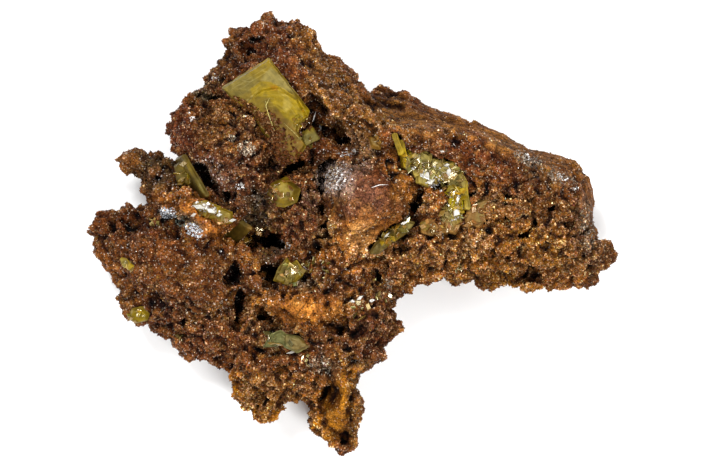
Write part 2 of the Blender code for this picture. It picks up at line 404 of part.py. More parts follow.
# ---------------------------------------------------------------- mesh helpers
def new_object(name, points, faces):
    """An object from points in millimetres."""
    mesh = bpy.data.meshes.new(name)
    mesh.from_pydata([tuple(c * MM for c in p) for p in points], [], faces)
    mesh.update()
    thing = bpy.data.objects.new(name, mesh)
    bpy.context.scene.collection.objects.link(thing)
    return thing


def bake(thing):
    """Apply every modifier to the object's own mesh."""
    graph = bpy.context.evaluated_depsgraph_get()
    mesh = bpy.data.meshes.new_from_object(thing.evaluated_get(graph))
    thing.modifiers.clear()
    thing.data = mesh


def remesh(thing, voxel):
    modifier = thing.modifiers.new("grain", "REMESH")
    modifier.mode = "VOXEL"
    modifier.voxel_size = voxel * MM
    bake(thing)


def combine(thing, other, operation):
    """Cut the other object out of this one, or join it on, and delete it."""
    modifier = thing.modifiers.new(operation, "BOOLEAN")
    modifier.operation = operation
    modifier.object = other
    bake(thing)
    bpy.data.objects.remove(other)


def get_points(thing):
    """The mesh's points in millimetres."""
    flat = np.empty(len(thing.data.vertices) * 3)
    thing.data.vertices.foreach_get("co", flat)
    return flat.reshape(-1, 3) / MM


def set_points(thing, points):
    thing.data.vertices.foreach_set("co", (points * MM).ravel())
    thing.data.update()


def get_normals(thing):
    flat = np.empty(len(thing.data.vertices) * 3)
    thing.data.vertices.foreach_get("normal", flat)
    return flat.reshape(-1, 3)


def keep_largest_piece(thing):
    """Delete crumbs that a cut has left beside the main body."""
    form = bmesh.new()
    form.from_mesh(thing.data)
    left = set(form.verts)
    pieces = []
    while left:
        piece = {left.pop()}
        edge_of_piece = list(piece)
        while edge_of_piece:
            near = {e.other_vert(v) for v in edge_of_piece for e in v.link_edges}
            edge_of_piece = list(near & left)
            left -= near
            piece.update(edge_of_piece)
        pieces.append(piece)
    pieces.sort(key=len)
    crumbs = [v for piece in pieces[:-1] for v in piece]
    bmesh.ops.delete(form, geom=crumbs, context="VERTS")
    form.to_mesh(thing.data)
    form.free()


# ---------------------------------------------------------------- outlines and heights
def is_inside(points, outline):
    """Whether each point lies within the outline, by counting crossings."""
    inside = np.zeros(len(points), bool)
    x, y = points[:, 0], points[:, 1]
    for (ax, ay), (bx, by) in zip(outline, outline[1:] + outline[:1]):
        if ay == by:
            continue
        crosses = (ay > y) != (by > y)
        inside ^= crosses & (x < (bx - ax) * (y - ay) / (by - ay) + ax)
    return inside


def distance_to_path(points, path):
    """Distance in plan from each point to a line through the path's points."""
    nearest = np.full(len(points), np.inf)
    for a, b in zip(path[:-1], path[1:]):
        a, along = np.array(a), np.subtract(b, a)
        share = np.clip((points[:, :2] - a) @ along / (along @ along), 0.0, 1.0)
        gap = points[:, :2] - a - share[:, None] * along
        nearest = np.minimum(nearest, np.hypot(gap[:, 0], gap[:, 1]))
    return nearest


def spread_heights(spots, points):
    """A smooth surface through the spot heights (Hardy multiquadric)."""
    spots = np.array(spots)

    def kernel(a, b):
        gap = a[:, None, :2] - b[None, :, :2]
        return -np.sqrt((gap ** 2).sum(axis=2) + FACE_SOFTNESS ** 2)

    level = spots[:, 2].mean()
    weights = np.linalg.solve(kernel(spots, spots), spots[:, 2] - level)
    return level + kernel(points, spots) @ weights


def make_lobe(outline, heights, under):
    """A closed cushion: its outline in plan, its face and back through spot heights."""
    low, high = np.min(outline, axis=0), np.max(outline, axis=0)
    xs = np.arange(low[0], high[0], SHEET_SPACING)
    ys = np.arange(low[1], high[1], SHEET_SPACING)
    grid = np.stack(np.meshgrid(xs, ys), axis=-1).reshape(-1, 2)
    ring = outline + outline[:1]
    keep = is_inside(grid, outline) & (distance_to_path(grid, ring) > SHEET_SPACING / 3)
    seeds = [Vector(p) for p in outline] + [Vector(p) for p in grid[keep]]
    corner_count = len(outline)
    edges = [(i, (i + 1) % corner_count) for i in range(corner_count)]
    within = 1
    flat, _, faces, *_ = geometry.delaunay_2d_cdt(seeds, edges, [], within, PLAN_ACCURACY)
    plan = np.array([tuple(p) for p in flat])
    depth_in = distance_to_path(plan, ring)
    roll = min(ROLL, ROLL_SHARE * depth_in.max())
    swell = np.sqrt(1.0 - (1.0 - np.clip(depth_in / roll, 0.0, 1.0)) ** 2)
    face, back = spread_heights(heights, plan), spread_heights(under, plan)
    rim = back + (face - back) * RIM_SHARE
    top = np.column_stack([plan, rim + (face - rim) * swell])
    bottom = np.column_stack([plan, rim + (back - rim) * swell])
    count = len(plan)
    points = np.vstack([top, bottom])
    upper = [tuple(f) for f in faces]
    lower = [tuple(i + count for i in reversed(f)) for f in faces]
    return points, upper + lower


def weld(thing):
    form = bmesh.new()
    form.from_mesh(thing.data)
    bmesh.ops.remove_doubles(form, verts=form.verts, dist=WELD_DISTANCE * MM)
    form.to_mesh(thing.data)
    form.free()


# ---------------------------------------------------------------- gossan
def join_meshes(name, parts):
    """One object that holds every part's faces, still as separate shells."""
    points, faces = [], []
    for part_points, part_faces in parts:
        start = len(points)
        points.extend(part_points)
        faces.extend(tuple(i + start for i in f) for f in part_faces)
    return new_object(name, points, faces)


def make_knob(x, y, z, radius):
    form = bmesh.new()
    bmesh.ops.create_icosphere(form, subdivisions=2, radius=radius)
    points = [(v.co.x + x, v.co.y + y, v.co.z * KNOB_FLATNESS + z) for v in form.verts]
    faces = [tuple(v.index for v in f.verts) for f in form.faces]
    form.free()
    return points, faces


def face_heights(thing):
    """A function that gives the height of the object's upper face at (x, y), in millimetres."""
    form = bmesh.new()
    form.from_mesh(thing.data)
    tree = BVHTree.FromBMesh(form)
    form.free()

    def height(x, y):
        hit, *_ = tree.ray_cast(Vector((x, y, CEILING)) * MM, Vector((0, 0, -1)))
        return hit.z / MM if hit else 0.0

    return height


def make_forms():
    """The lobes and knobs as one body."""
    forms = join_meshes("forms", [make_lobe(**lobe) for lobe in LOBES])
    weld(forms)
    remesh(forms, FORM_VOXEL)
    height = face_heights(forms)
    parts = [(get_points(forms), [tuple(p.vertices) for p in forms.data.polygons])]
    for x, y, radius in KNOBS:
        parts.append(make_knob(x, y, height(x, y) - KNOB_SINK * radius, radius))
    bpy.data.objects.remove(forms)
    gossan = join_meshes("gossan_matrix", parts)
    remesh(gossan, FORM_VOXEL)
    return gossan


def roughness_at(points):
    """How rough each place is, from SMOOTH_SHARE on the smooth faces to 1 elsewhere."""
    rough = np.ones(len(points))
    for x, y, radius in SMOOTH_PLACES:
        away = np.hypot(points[:, 0] - x, points[:, 1] - y) / radius
        share = np.clip(away / SMOOTH_CORE - 1.0, 0.0, 1.0)
        rough = np.minimum(rough, SMOOTH_SHARE + (1 - SMOOTH_SHARE) * share)
    return rough


def carve_sides(gossan):
    """Hollow the sides in above and below their widest line, in ledges."""
    points, normals = get_points(gossan), get_normals(gossan)
    sideways = np.hypot(normals[:, 0], normals[:, 1])
    away = points[:, 2] - WIDEST_LEVEL
    reach = np.where(away < 0, SIDE_CARVE, SIDE_CARVE_ABOVE)
    reach = reach * np.clip((np.abs(away) - WIDEST_BAND) / WIDEST_FADE, 0.0, 1.0)
    places = points / (LEDGE_BREADTH, LEDGE_BREADTH, LEDGE_HEIGHT) + (0, 0, SEED)
    carve = np.array([max(noise.noise(Vector(place)) + CARVE_BIAS, 0.0) for place in places])
    depth = reach * carve * sideways ** 2 - OUTLINE_SWELL * sideways
    set_points(gossan, points - normals * depth[:, None])


def roughen(gossan):
    """Lumps, cells and grit, raised and sunk along the surface's normals."""
    points, normals = get_points(gossan), get_normals(gossan)
    rough = roughness_at(points)
    shift = np.empty(len(points))
    for i, point in enumerate(points):
        place = Vector(point)
        lumps = noise.noise(place / LUMP_SIZE + Vector((SEED, 0, 0)))
        grit = noise.noise(place / GRIT_SIZE + Vector((0, SEED, 0)))
        cells = CELL_MIDDLE - noise.voronoi(place / CELL_SIZE)[0][0]
        shift[i] = LUMP_HEIGHT * lumps + GRIT_HEIGHT * grit + CELL_HEIGHT * cells
    set_points(gossan, points + normals * (shift * rough)[:, None])


def sink_hollows(gossan):
    """Press each hollow's path down into the face, steep at its sides."""
    points = get_points(gossan)
    above = points[:, 2] > HOLLOW_FLOOR
    sunk = points[:, 2].copy()
    for path, half_width, depth in HOLLOWS:
        away = distance_to_path(points, path) / half_width
        wall = np.clip((HOLLOW_REACH - away) / HOLLOW_WALL, 0.0, 1.0)
        press = depth * wall * wall * (3 - 2 * wall)
        level = points[:, 2][(away < HOLLOW_RIM) & above].max()
        lowest = level - depth - HOLLOW_HEADROOM
        near_face = np.clip((points[:, 2] - lowest) / HOLLOW_FADE, 0.0, 1.0)
        sunk = np.minimum(sunk, points[:, 2] - press * near_face)
    points[:, 2] = np.where(above, np.maximum(sunk, HOLLOW_FLOOR), points[:, 2])
    set_points(gossan, points)


def thin_out(gossan):
    """Bring the surface down to its triangle budget."""
    gossan.data.calc_loop_triangles()
    modifier = gossan.modifiers.new("budget", "DECIMATE")
    modifier.ratio = GOSSAN_TRIANGLES / len(gossan.data.loop_triangles)
    modifier.use_collapse_triangulate = True
    bake(gossan)


def trim_underside(gossan):
    """Saw the back off flat at Z = 0, so that the lump lies still."""
    x, y = LENGTH / 2 + BOX_MARGIN, BREADTH / 2 + BOX_MARGIN
    z = -BOX_MARGIN
    points = [(-x, -y, z), (x, -y, z), (x, y, z), (-x, y, z),
              (-x, -y, 0), (x, -y, 0), (x, y, 0), (-x, y, 0)]
    faces = [(3, 2, 1, 0), (4, 5, 6, 7), (0, 1, 5, 4), (1, 2, 6, 5), (2, 3, 7, 6), (3, 0, 4, 7)]
    combine(gossan, new_object("trim", points, faces), "DIFFERENCE")


def make_gossan():
    gossan = make_forms()
    carve_sides(gossan)
    roughen(gossan)
    sink_hollows(gossan)
    remesh(gossan, RELIEF_VOXEL)
    keep_largest_piece(gossan)
    thin_out(gossan)
    trim_underside(gossan)
    keep_largest_piece(gossan)
    return gossan


# ---------------------------------------------------------------- crystals
def lying_corners(height, corners, slope, lift=0.0, level=None, **_):
    """Corners of a plate that lies on the face, on a sloping plane through its middle."""
    plan = np.array(corners)
    middle = plan.mean(axis=0)
    level = height(*middle) + lift if level is None else level
    return np.column_stack([plan, level + (plan - middle) @ np.array(slope)])


def standing_corners(height, edge, lean, depth, lift=0.0, level=None, **_):
    """Corners of a plate that stands in the face and shows its upper edge."""
    start, end = np.array(edge)
    level = height(*(start + end) / 2) + lift if level is None else level
    foot = np.array([*lean, -1.0]) * depth
    upper = np.array([[*start, level], [*end, level]])
    return np.array([upper[0], upper[1], upper[1] + foot, upper[0] + foot])


def plate_mesh(corners, thickness, grown=0.0):
    """A tablet with a slanted rim, a narrower face above and below a wider middle.

    grown is how much larger it is on every side, for the socket that the tablet sits in.
    """
    middle = corners.mean(axis=0)
    ahead = np.roll(corners, -1, axis=0)
    normal = np.cross(corners - middle, ahead - middle).sum(axis=0)
    normal /= np.linalg.norm(normal)
    if normal[2] < 0:
        corners, normal = corners[::-1], -normal
    corners = corners - np.outer((corners - middle) @ normal, normal)
    radius = np.linalg.norm(corners - middle, axis=1, keepdims=True)
    outward = (corners - middle) / radius
    rim = corners + outward * grown * CORNER_GROWTH
    inset = rim - outward * thickness * BEVEL_SHARE
    rings = [inset + normal * grown, rim - normal * thickness / 2,
             inset - normal * (thickness + grown)]
    count = len(corners)
    faces = [tuple(range(count)), tuple(reversed(range(2 * count, 3 * count)))]
    for ring in range(2):
        for i in range(count):
            j = (i + 1) % count
            a, b = ring * count + i, ring * count + j
            faces.append((a, a + count, b + count, b))
    return np.vstack(rings), faces


def plate_corners(plate, height):
    shape = standing_corners if "edge" in plate else lying_corners
    return shape(height, **plate)


def make_crystal(name, plates, height):
    """Plates grown into each other, as one solid."""
    crystal = None
    for plate in plates:
        tablet = plate_mesh(plate_corners(plate, height), plate["thickness"])
        piece = new_object(name, *tablet)
        if crystal is None:
            crystal = piece
        else:
            combine(crystal, piece, "UNION")
    return crystal


def seat_crystals(gossan):
    """Make the crystals on the gossan's face, and cut the socket that each plate sits in."""
    height = face_heights(gossan)
    crystals = [make_crystal(name, plates, height) for name, plates in CRYSTALS.items()]
    for plate in [plate for plates in CRYSTALS.values() for plate in plates]:
        socket = plate_mesh(plate_corners(plate, height), plate["thickness"], SEAT_GAP)
        combine(gossan, new_object("socket", *socket), "DIFFERENCE")
    keep_largest_piece(gossan)
    return crystals


# ---------------------------------------------------------------- assembly
def centre_on_origin(things):
    """Move all the pieces so that the middle of their footprint is over the origin."""
    points = np.vstack([get_points(t) for t in things])
    low, high = points.min(axis=0), points.max(axis=0)
    shift = np.array([-(low[0] + high[0]) / 2, -(low[1] + high[1]) / 2, 0.0])
    for thing in things:
        set_points(thing, get_points(thing) + shift)


def clear_scene():
    for thing in list(bpy.data.objects):
        bpy.data.objects.remove(thing)


def main():
    clear_scene()
    gossan = make_gossan()
    crystals = seat_crystals(gossan)
    centre_on_origin([gossan, *crystals])
    gossan.name = "gossan_matrix"
    gossan.data.materials.clear()
    gossan.data.materials.append(make_material("gossan", **GOSSAN))
    for crystal in crystals:
        crystal.data.materials.clear()
        crystal.data.materials.append(make_material(crystal.name, **WULFENITE))


main()
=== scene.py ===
"""Looks of the wulfenite cluster: finish of the gossan, its druse and grains, and the crystals.

The display face looks up (+Z) and +Y is the specimen's top. Lengths are millimetres unless a name
ends in _M, and MM turns them into the frame's metres where a mesh is made. Places on the display
face are (x, y) on the drawing that the solids come from, and DRAWN_SHIFT takes them to the frame.
"""
import itertools
import math

import bmesh
import bpy
import numpy as np
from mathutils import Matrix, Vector
from mathutils.bvhtree import BVHTree


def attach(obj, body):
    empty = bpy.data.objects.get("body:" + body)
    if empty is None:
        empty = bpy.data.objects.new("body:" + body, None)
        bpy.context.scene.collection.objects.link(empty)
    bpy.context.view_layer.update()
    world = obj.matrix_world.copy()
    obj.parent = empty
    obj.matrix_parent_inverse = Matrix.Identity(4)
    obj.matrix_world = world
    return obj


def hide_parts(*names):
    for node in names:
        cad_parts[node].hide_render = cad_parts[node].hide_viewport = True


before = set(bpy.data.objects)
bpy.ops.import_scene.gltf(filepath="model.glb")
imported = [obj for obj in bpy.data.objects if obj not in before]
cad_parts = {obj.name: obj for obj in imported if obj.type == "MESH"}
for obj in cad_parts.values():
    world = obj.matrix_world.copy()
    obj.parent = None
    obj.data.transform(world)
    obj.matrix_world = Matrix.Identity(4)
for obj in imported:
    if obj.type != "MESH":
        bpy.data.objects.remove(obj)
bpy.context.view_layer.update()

MM = 0.001
DRAWN_SHIFT = np.array([0.16, -0.19])    # from a place on the drawing to the frame
ROOT = "root"
SEED = 20
TINT = "tint"           # the painted colour, with another number beside it


# ---------------------------------------------------------------- repeatable noise
# Every pattern has a salt, a whole number of its own, so that no two of them are alike.
def hash01(cells, salt):
    """A repeatable number from 0 to 1 for each whole-number cell."""
    c = cells.astype(np.int64)
    h = (c[:, 0] * 73856093) ^ (c[:, 1] * 19349663) ^ (c[:, 2] * 83492791) ^ (salt * 2654435761)
    h &= 0xFFFFFFFF
    for _ in range(2):
        h = ((h ^ (h >> 15)) * 0x2C1B3C6D) & 0xFFFFFFFF
        h = ((h ^ (h >> 12)) * 0x297A2D39) & 0xFFFFFFFF
    return (h ^ (h >> 15)) / 0xFFFFFFFF


def soft_noise(points, size, salt):
    """Smooth noise from -1 to 1, with lumps about the given size across."""
    place = points / size
    base = np.floor(place)
    share = place - base
    share = share * share * (3 - 2 * share)
    total = np.zeros(len(points))
    for corner in itertools.product((0, 1), repeat=3):
        weight = np.where(np.array(corner) == 1, share, 1 - share).prod(axis=1)
        total += weight * hash01(base + corner, salt)
    return total * 2 - 1


def layered_noise(points, size, salt, layers=3):
    total = sum(soft_noise(points, size / 2 ** i, salt + i) / 2 ** i for i in range(layers))
    return total / sum(1 / 2 ** i for i in range(layers))


def facets(points, size, salt, jitter=0.85):
    """Cells of random shape: distance to the nearest middle and to the next, the cell's random
    tone, and the height of its top, a plane of its own tilt."""
    place = points / size
    base = np.floor(place)
    near, after = np.full(len(points), 9.0), np.full(len(points), 9.0)
    tone, plane = np.zeros(len(points)), np.zeros(len(points))
    for offset in itertools.product((-1, 0, 1), repeat=3):
        cell = base + offset
        middle = np.stack([hash01(cell, salt + axis) for axis in range(3)], axis=1)
        gap = place - (cell + 0.5 + jitter * (middle - 0.5))
        away = np.sqrt((gap ** 2).sum(axis=1))
        closer = away < near
        after = np.where(closer, near, np.minimum(after, away))
        tone = np.where(closer, hash01(cell, salt + 7), tone)
        tilt = np.stack([hash01(cell, salt + 11 + axis) for axis in range(3)], axis=1) - 0.5
        plane = np.where(closer, (gap * tilt).sum(axis=1) * 2, plane)
        near = np.minimum(near, away)
    return near, after, tone, plane


# ---------------------------------------------------------------- mesh helpers
def make_mesh(name, points, triangles):
    """A mesh object from points in millimetres and rows of three point numbers."""
    mesh = bpy.data.meshes.new(name)
    mesh.vertices.add(len(points))
    mesh.vertices.foreach_set("co", (np.asarray(points) * MM).astype(np.float32).ravel())
    mesh.loops.add(len(triangles) * 3)
    mesh.loops.foreach_set("vertex_index", np.asarray(triangles, np.int32).ravel())
    mesh.polygons.add(len(triangles))
    mesh.polygons.foreach_set("loop_start", np.arange(len(triangles), dtype=np.int32) * 3)
    mesh.update(calc_edges=True)
    mesh.validate()
    thing = bpy.data.objects.new(name, mesh)
    bpy.context.scene.collection.objects.link(thing)
    return thing


def read_rows(items, field, width, kind=np.float32):
    """One field of every item, as rows of so many numbers."""
    flat = np.empty(len(items) * width, kind)
    items.foreach_get(field, flat)
    return flat.reshape(-1, width)


def get_points(thing):
    return read_rows(thing.data.vertices, "co", 3).astype(float) / MM


def set_points(thing, points):
    thing.data.vertices.foreach_set("co", (points * MM).astype(np.float32).ravel())
    thing.data.update()


def get_normals(thing):
    return read_rows(thing.data.vertices, "normal", 3).astype(float)


def get_triangles(thing):
    thing.data.calc_loop_triangles()
    return read_rows(thing.data.loop_triangles, "vertices", 3, np.int32)


def apply_modifier(thing, kind, **settings):
    modifier = thing.modifiers.new(kind, kind)
    for key, value in settings.items():
        setattr(modifier, key, value)
    graph = bpy.context.evaluated_depsgraph_get()
    mesh = bpy.data.meshes.new_from_object(thing.evaluated_get(graph))
    thing.modifiers.clear()
    thing.data = mesh


def smoothed_points(thing, rounds):
    """Where the points would lie if the surface were smoothed."""
    modifier = thing.modifiers.new("smooth", "SMOOTH")
    modifier.factor = 0.5
    modifier.iterations = rounds
    graph = bpy.context.evaluated_depsgraph_get()
    mesh = thing.evaluated_get(graph).to_mesh()
    points = read_rows(mesh.vertices, "co", 3).astype(float) / MM
    thing.evaluated_get(graph).to_mesh_clear()
    thing.modifiers.clear()
    return points


def paint(thing, colours, beside):
    """Store a colour and one more number per point, for the material to read."""
    attribute = thing.data.attributes.new(TINT, "FLOAT_COLOR", "POINT")
    rgba = np.column_stack([colours, beside])
    attribute.data.foreach_set("color", rgba.astype(np.float32).ravel())


def read_colours(thing):
    return read_rows(thing.data.attributes[TINT].data, "color", 4)[:, :3].astype(float)


# ---------------------------------------------------------------- places on the gossan
def patch(points, place, warp):
    """Weight from 0 to 1 of a soft-edged oval: x, y, half length, half breadth, turn in degrees."""
    x, y, length, breadth, turn = place
    away = points[:, :2] - DRAWN_SHIFT - np.array([x, y]) + warp
    c, s = math.cos(math.radians(turn)), math.sin(math.radians(turn))
    along = (away[:, 0] * c + away[:, 1] * s) / length
    across = (away[:, 1] * c - away[:, 0] * s) / breadth
    share = np.clip(1.45 - np.hypot(along, across), 0.0, 0.9) / 0.9
    return share * share * (3 - 2 * share)


def any_patch(points, places, warp):
    return np.max([patch(points, place, warp) for place in places], axis=0)


# Kinds of surface, as ovals: x, y, half length, half breadth, turn in degrees.
EDGE_WARP = 0.9         # how far noise shifts the edge of a patch
SPONGY = [(-17.6, 17.0, 6.5, 4.5, 10), (-10.5, 11.5, 3.5, 4.5, 20), (-20.5, 22.0, 3.0, 2.6, 0),
          (5.0, -3.5, 4.5, 2.6, -30), (-3.0, -11.5, 8.0, 2.6, 5), (-21.0, -14.5, 7.0, 2.2, -38),
          (-15.5, -13.5, 3.5, 3.5, 0), (-7.5, -14.0, 5.0, 3.0, 0), (3.5, -12.5, 4.5, 4.5, 0)]
CAULIFLOWER = [(25.0, 2.4, 8.5, 5.2, -4), (17.5, -2.0, 4.0, 3.0, 0), (33.5, 1.5, 2.5, 4.5, 0),
               (-9.0, 3.2, 4.6, 5.0, 0), (7.5, -3.5, 2.5, 2.5, 0)]
GRANULAR = [(24.0, -4.5, 13.0, 3.6, 0), (36.0, -3.6, 3.6, 3.4, 0), (9.5, -4.5, 6.5, 3.2, 0),
            (2.2, 0.0, 6.0, 3.5, 0), (-12.0, -24.5, 5.5, 5.0, -10), (-3.0, -25.5, 4.0, 8.0, 10)]
SMOOTH = [(9.0, 18.4, 8.0, 2.2, -17), (15.0, 17.2, 5.0, 2.2, -24), (22.0, 14.6, 6.5, 2.0, -24),
          (30.0, 11.4, 5.0, 1.8, -22), (36.0, 5.0, 1.5, 5.0, 5), (-5.8, -11.3, 6.0, 2.5, -3),
          (-22.5, 4.0, 2.2, 1.6, -50), (-21.5, 1.0, 3.0, 1.6, -35), (2.4, 4.6, 5.6, 5.2, 0),
          (1.0, -0.2, 4.0, 2.2, 15), (-2.2, -26.0, 2.6, 6.5, 12)]
VELVET = [(14.0, 12.6, 8.0, 3.0, -20), (23.0, 9.4, 6.0, 2.4, -24), (-22.5, 13.0, 6.5, 3.2, -52),
          (-30.0, -4.0, 8.5, 6.0, -20), (-22.0, -6.5, 6.5, 5.5, -20), (2.2, 5.5, 5.8, 5.5, 0),
          (-5.0, 22.0, 7.0, 5.5, -50)]

# Small dark holes through the crust: (x, y, radius).
HOLES = [
    (-15.6, 27.9, 0.7), (-14.7, 29.3, 0.6), (-21.6, 18.4, 0.5), (-20.4, 19.2, 0.4),
    (-18.6, 18.4, 0.5), (-17.1, 16.6, 0.5), (-19.4, 16.0, 0.4), (-15.6, 14.2, 0.5),
    (-14.0, 12.6, 0.5), (-12.4, 12.0, 0.4), (-11.4, 13.2, 0.4), (-16.2, 18.6, 0.4),
    (-30.4, 10.0, 0.5), (-28.8, 8.4, 0.5), (-27.9, 10.6, 0.4), (-14.2, 6.6, 0.5),
    (-12.8, 3.2, 0.5), (-6.2, 4.0, 0.5), (-8.0, 5.0, 0.4), (-4.6, -2.4, 0.4),
    (-9.6, -2.4, 0.6), (-24.0, -11.6, 0.6), (-21.8, -12.6, 0.6), (-27.0, -11.2, 0.6),
    (-25.0, -13.4, 0.5), (-17.0, -14.6, 0.5), (-14.6, -13.4, 0.5), (-3.0, -15.4, 0.6),
    (-0.4, -16.6, 0.6), (2.6, -15.2, 0.5), (4.4, -11.8, 0.5), (5.6, -9.6, 0.4),
    (-6.6, -9.4, 0.4), (-3.2, -10.0, 0.4), (0.0, -9.2, 0.5), (19.0, 2.6, 0.5),
    (27.2, 5.8, 0.5), (30.6, 4.6, 0.5), (33.4, 3.0, 0.5), (33.8, 0.4, 0.6),
    (35.0, -2.4, 0.4), (29.6, -2.2, 0.4), (24.6, -2.6, 0.5), (21.6, -2.9, 0.4),
    (18.8, -3.2, 0.4), (14.4, -2.2, 0.4), (4.6, 16.9, 0.5), (33.0, 10.0, 0.4),
    (-1.2, -22.4, 0.5), (2.0, -25.2, 0.4), (-3.9, -28.4, 0.5), (-13.0, -25.8, 0.4),
    (1.1, -21.6, 0.6), (1.2, -22.9, 0.5), (-36.0, 1.8, 0.5), (-34.4, 0.0, 0.4),
    (-20.9, 2.7, 0.3), (10.0, 20.6, 0.6)]

# Sharp crests: (path, height, half width).
CRESTS = [
    ([(-9.1, 33.0), (-7.4, 30.5), (-6.4, 26.8), (-4.9, 24.2), (-2.3, 22.2), (0.2, 20.2),
      (1.7, 18.9), (4.4, 17.3), (8.2, 15.6), (12.2, 15.4), (16.1, 15.8), (20.2, 14.0),
      (23.2, 12.6), (26.9, 11.7), (30.2, 9.6), (33.2, 7.7)], 0.9, 1.3),
    ([(-2.4, 26.8), (0.0, 24.4), (1.4, 22.4)], 0.6, 0.8),
    ([(-37.0, -1.4), (-34.6, 1.6), (-31.4, 3.6), (-28.2, 4.2)], 0.7, 0.8),
    ([(-20.6, -9.9), (-18.6, -8.6), (-16.3, -7.0)], 0.7, 0.7),
    ([(-27.0, 13.4), (-27.0, 17.0), (-25.4, 19.6)], 0.5, 0.7),
    ([(-20.0, 8.4), (-17.6, 5.2), (-16.6, 3.4)], 0.5, 0.7)]

# Cracks: (path, half width, depth).
CRACKS = [
    ([(-6.8, 28.4), (-6.2, 26.2), (-5.6, 24.8)], 0.3, 1.0),
    ([(-16.4, 31.0), (-16.6, 28.6), (-17.4, 26.4)], 0.4, 1.6),
    ([(-21.4, 24.4), (-19.4, 23.2), (-17.2, 22.6)], 0.4, 1.6),
    ([(-22.6, 21.0), (-19.4, 20.6), (-16.6, 21.2)], 0.4, 1.2),
    ([(2.2, 20.0), (4.8, 19.6), (7.4, 19.4)], 0.6, 1.8),
    ([(9.8, 12.0), (9.4, 9.8), (9.9, 7.4)], 0.35, 1.4),
    ([(17.6, 1.8), (19.6, 0.6), (21.6, 0.9), (23.6, -0.4), (25.8, 0.2)], 0.4, 1.6),
    ([(25.8, 6.6), (26.2, 4.4), (27.4, 2.8), (27.0, 0.8)], 0.4, 1.8),
    ([(30.6, 6.4), (30.2, 4.2), (31.6, 2.2), (31.0, 0.4)], 0.4, 1.4),
    ([(20.8, 7.0), (22.0, 5.4), (21.4, 3.6)], 0.3, 0.8),
    ([(6.6, -1.6), (6.0, -4.0), (4.6, -6.4), (3.6, -9.4)], 0.4, 0.8),
    ([(-19.2, -2.0), (-17.8, -5.0), (-15.6, -7.8), (-13.4, -8.6)], 0.35, 1.1),
    ([(-34.6, 3.0), (-33.0, 1.0), (-30.4, 1.8), (-27.2, 2.4)], 0.5, 1.6),
    ([(-28.0, -12.0), (-24.4, -14.4), (-21.4, -17.0), (-20.0, -19.6)], 0.4, 1.4),
    ([(-24.6, -9.8), (-21.6, -11.6), (-19.0, -11.4)], 0.4, 1.2),
    ([(-18.4, -17.4), (-14.8, -16.4), (-12.4, -17.8), (-8.4, -17.8), (-5.0, -16.2)], 0.4, 1.4),
    ([(-4.6, -12.9), (-2.4, -13.5), (0.6, -14.2), (2.4, -13.2)], 0.5, 2.0),
    ([(-5.8, -12.6), (-5.4, -11.4)], 0.3, 1.2), ([(-3.2, -12.8), (-3.0, -11.0)], 0.3, 1.0),
    ([(-3.6, -19.6), (-3.0, -22.0), (-4.2, -24.6)], 0.5, 1.8),
    ([(-0.2, -19.0), (0.6, -21.0), (1.3, -23.4)], 0.4, 1.2),
    ([(0.2, -23.8), (-0.2, -26.6), (0.4, -29.0)], 0.35, 1.2),
    ([(-4.4, -28.0), (-2.0, -29.6), (0.2, -31.6)], 0.35, 1.0),
    ([(-5.9, 12.9), (-5.6, 10.4), (-5.2, 7.6), (-5.0, 4.6)], 0.45, 2.2),
    ([(-13.6, 9.6), (-11.4, 10.6), (-8.8, 9.8), (-6.2, 11.4)], 0.5, 2.0),
    ([(-14.6, 8.6), (-13.8, 6.0), (-14.4, 3.2)], 0.4, 1.4)]


# ---------------------------------------------------------------- gossan form
FORM_GRAIN = 0.34       # voxel of the first pass
SKIN_GRAIN = 0.30       # voxel of the finished skin
SKIN_TRIANGLES = 190000
FLAT_BACK = 0.25        # below this height the back keeps its sawn flat
FLAT_RIM = 1.2          # and over this height above it the relief grows to its full depth

# Sizes of the relief's cells, then how far each pattern stands out or cuts in.
BLOCKS, KNOBS, PORES, KERNELS, GRIT = 4.4, 2.1, 1.0, 0.95, 0.66
SWELL = 0.8
BLOCK_RISE, BLOCK_CRACK = 1.1, 1.4
KNOB_RISE, KNOB_FOOT, KNOB_CRACK, KNOB_TILT = 2.0, 1.1, 1.7, 0.9
CHIP_RISE, CHIP_TILT, CHIP_CRACK = 0.2, 0.45, 0.7
PORE_DEPTH, PORE_RIM, STRAY_PORE_DEPTH = 1.6, 0.8, 1.2
KERNEL_RISE, KERNEL_TILT = 0.8, 0.5
HOLE_DEPTH = 3.6        # for each millimetre of the hole's radius
GRIT_RISE, GRIT_STEP, ROUGHNESS, STREAK_RISE = 0.36, 0.10, 0.06, 0.14
OUTER_TREND = math.radians(-24)        # direction of the streaks on the outer side
PRONG_TREND, PRONG_TOP = math.radians(-78), -18.0    # and on the prongs, below this y


def shape_gossan(name):
    """The lump's finished skin: lumps, knobs, pores and holes over the solid's own form."""
    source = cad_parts["gossan_matrix"]
    skin = bpy.data.objects.new(name, source.data.copy())
    bpy.context.scene.collection.objects.link(skin)
    apply_modifier(skin, "REMESH", mode="VOXEL", voxel_size=FORM_GRAIN * MM)
    apply_modifier(skin, "SMOOTH", factor=0.5, iterations=4)
    raise_relief(skin)
    apply_modifier(skin, "REMESH", mode="VOXEL", voxel_size=SKIN_GRAIN * MM)
    raise_grit(skin)
    share = SKIN_TRIANGLES / len(get_triangles(skin))
    apply_modifier(skin, "DECIMATE", ratio=min(share, 1.0), use_collapse_triangulate=True)
    return skin


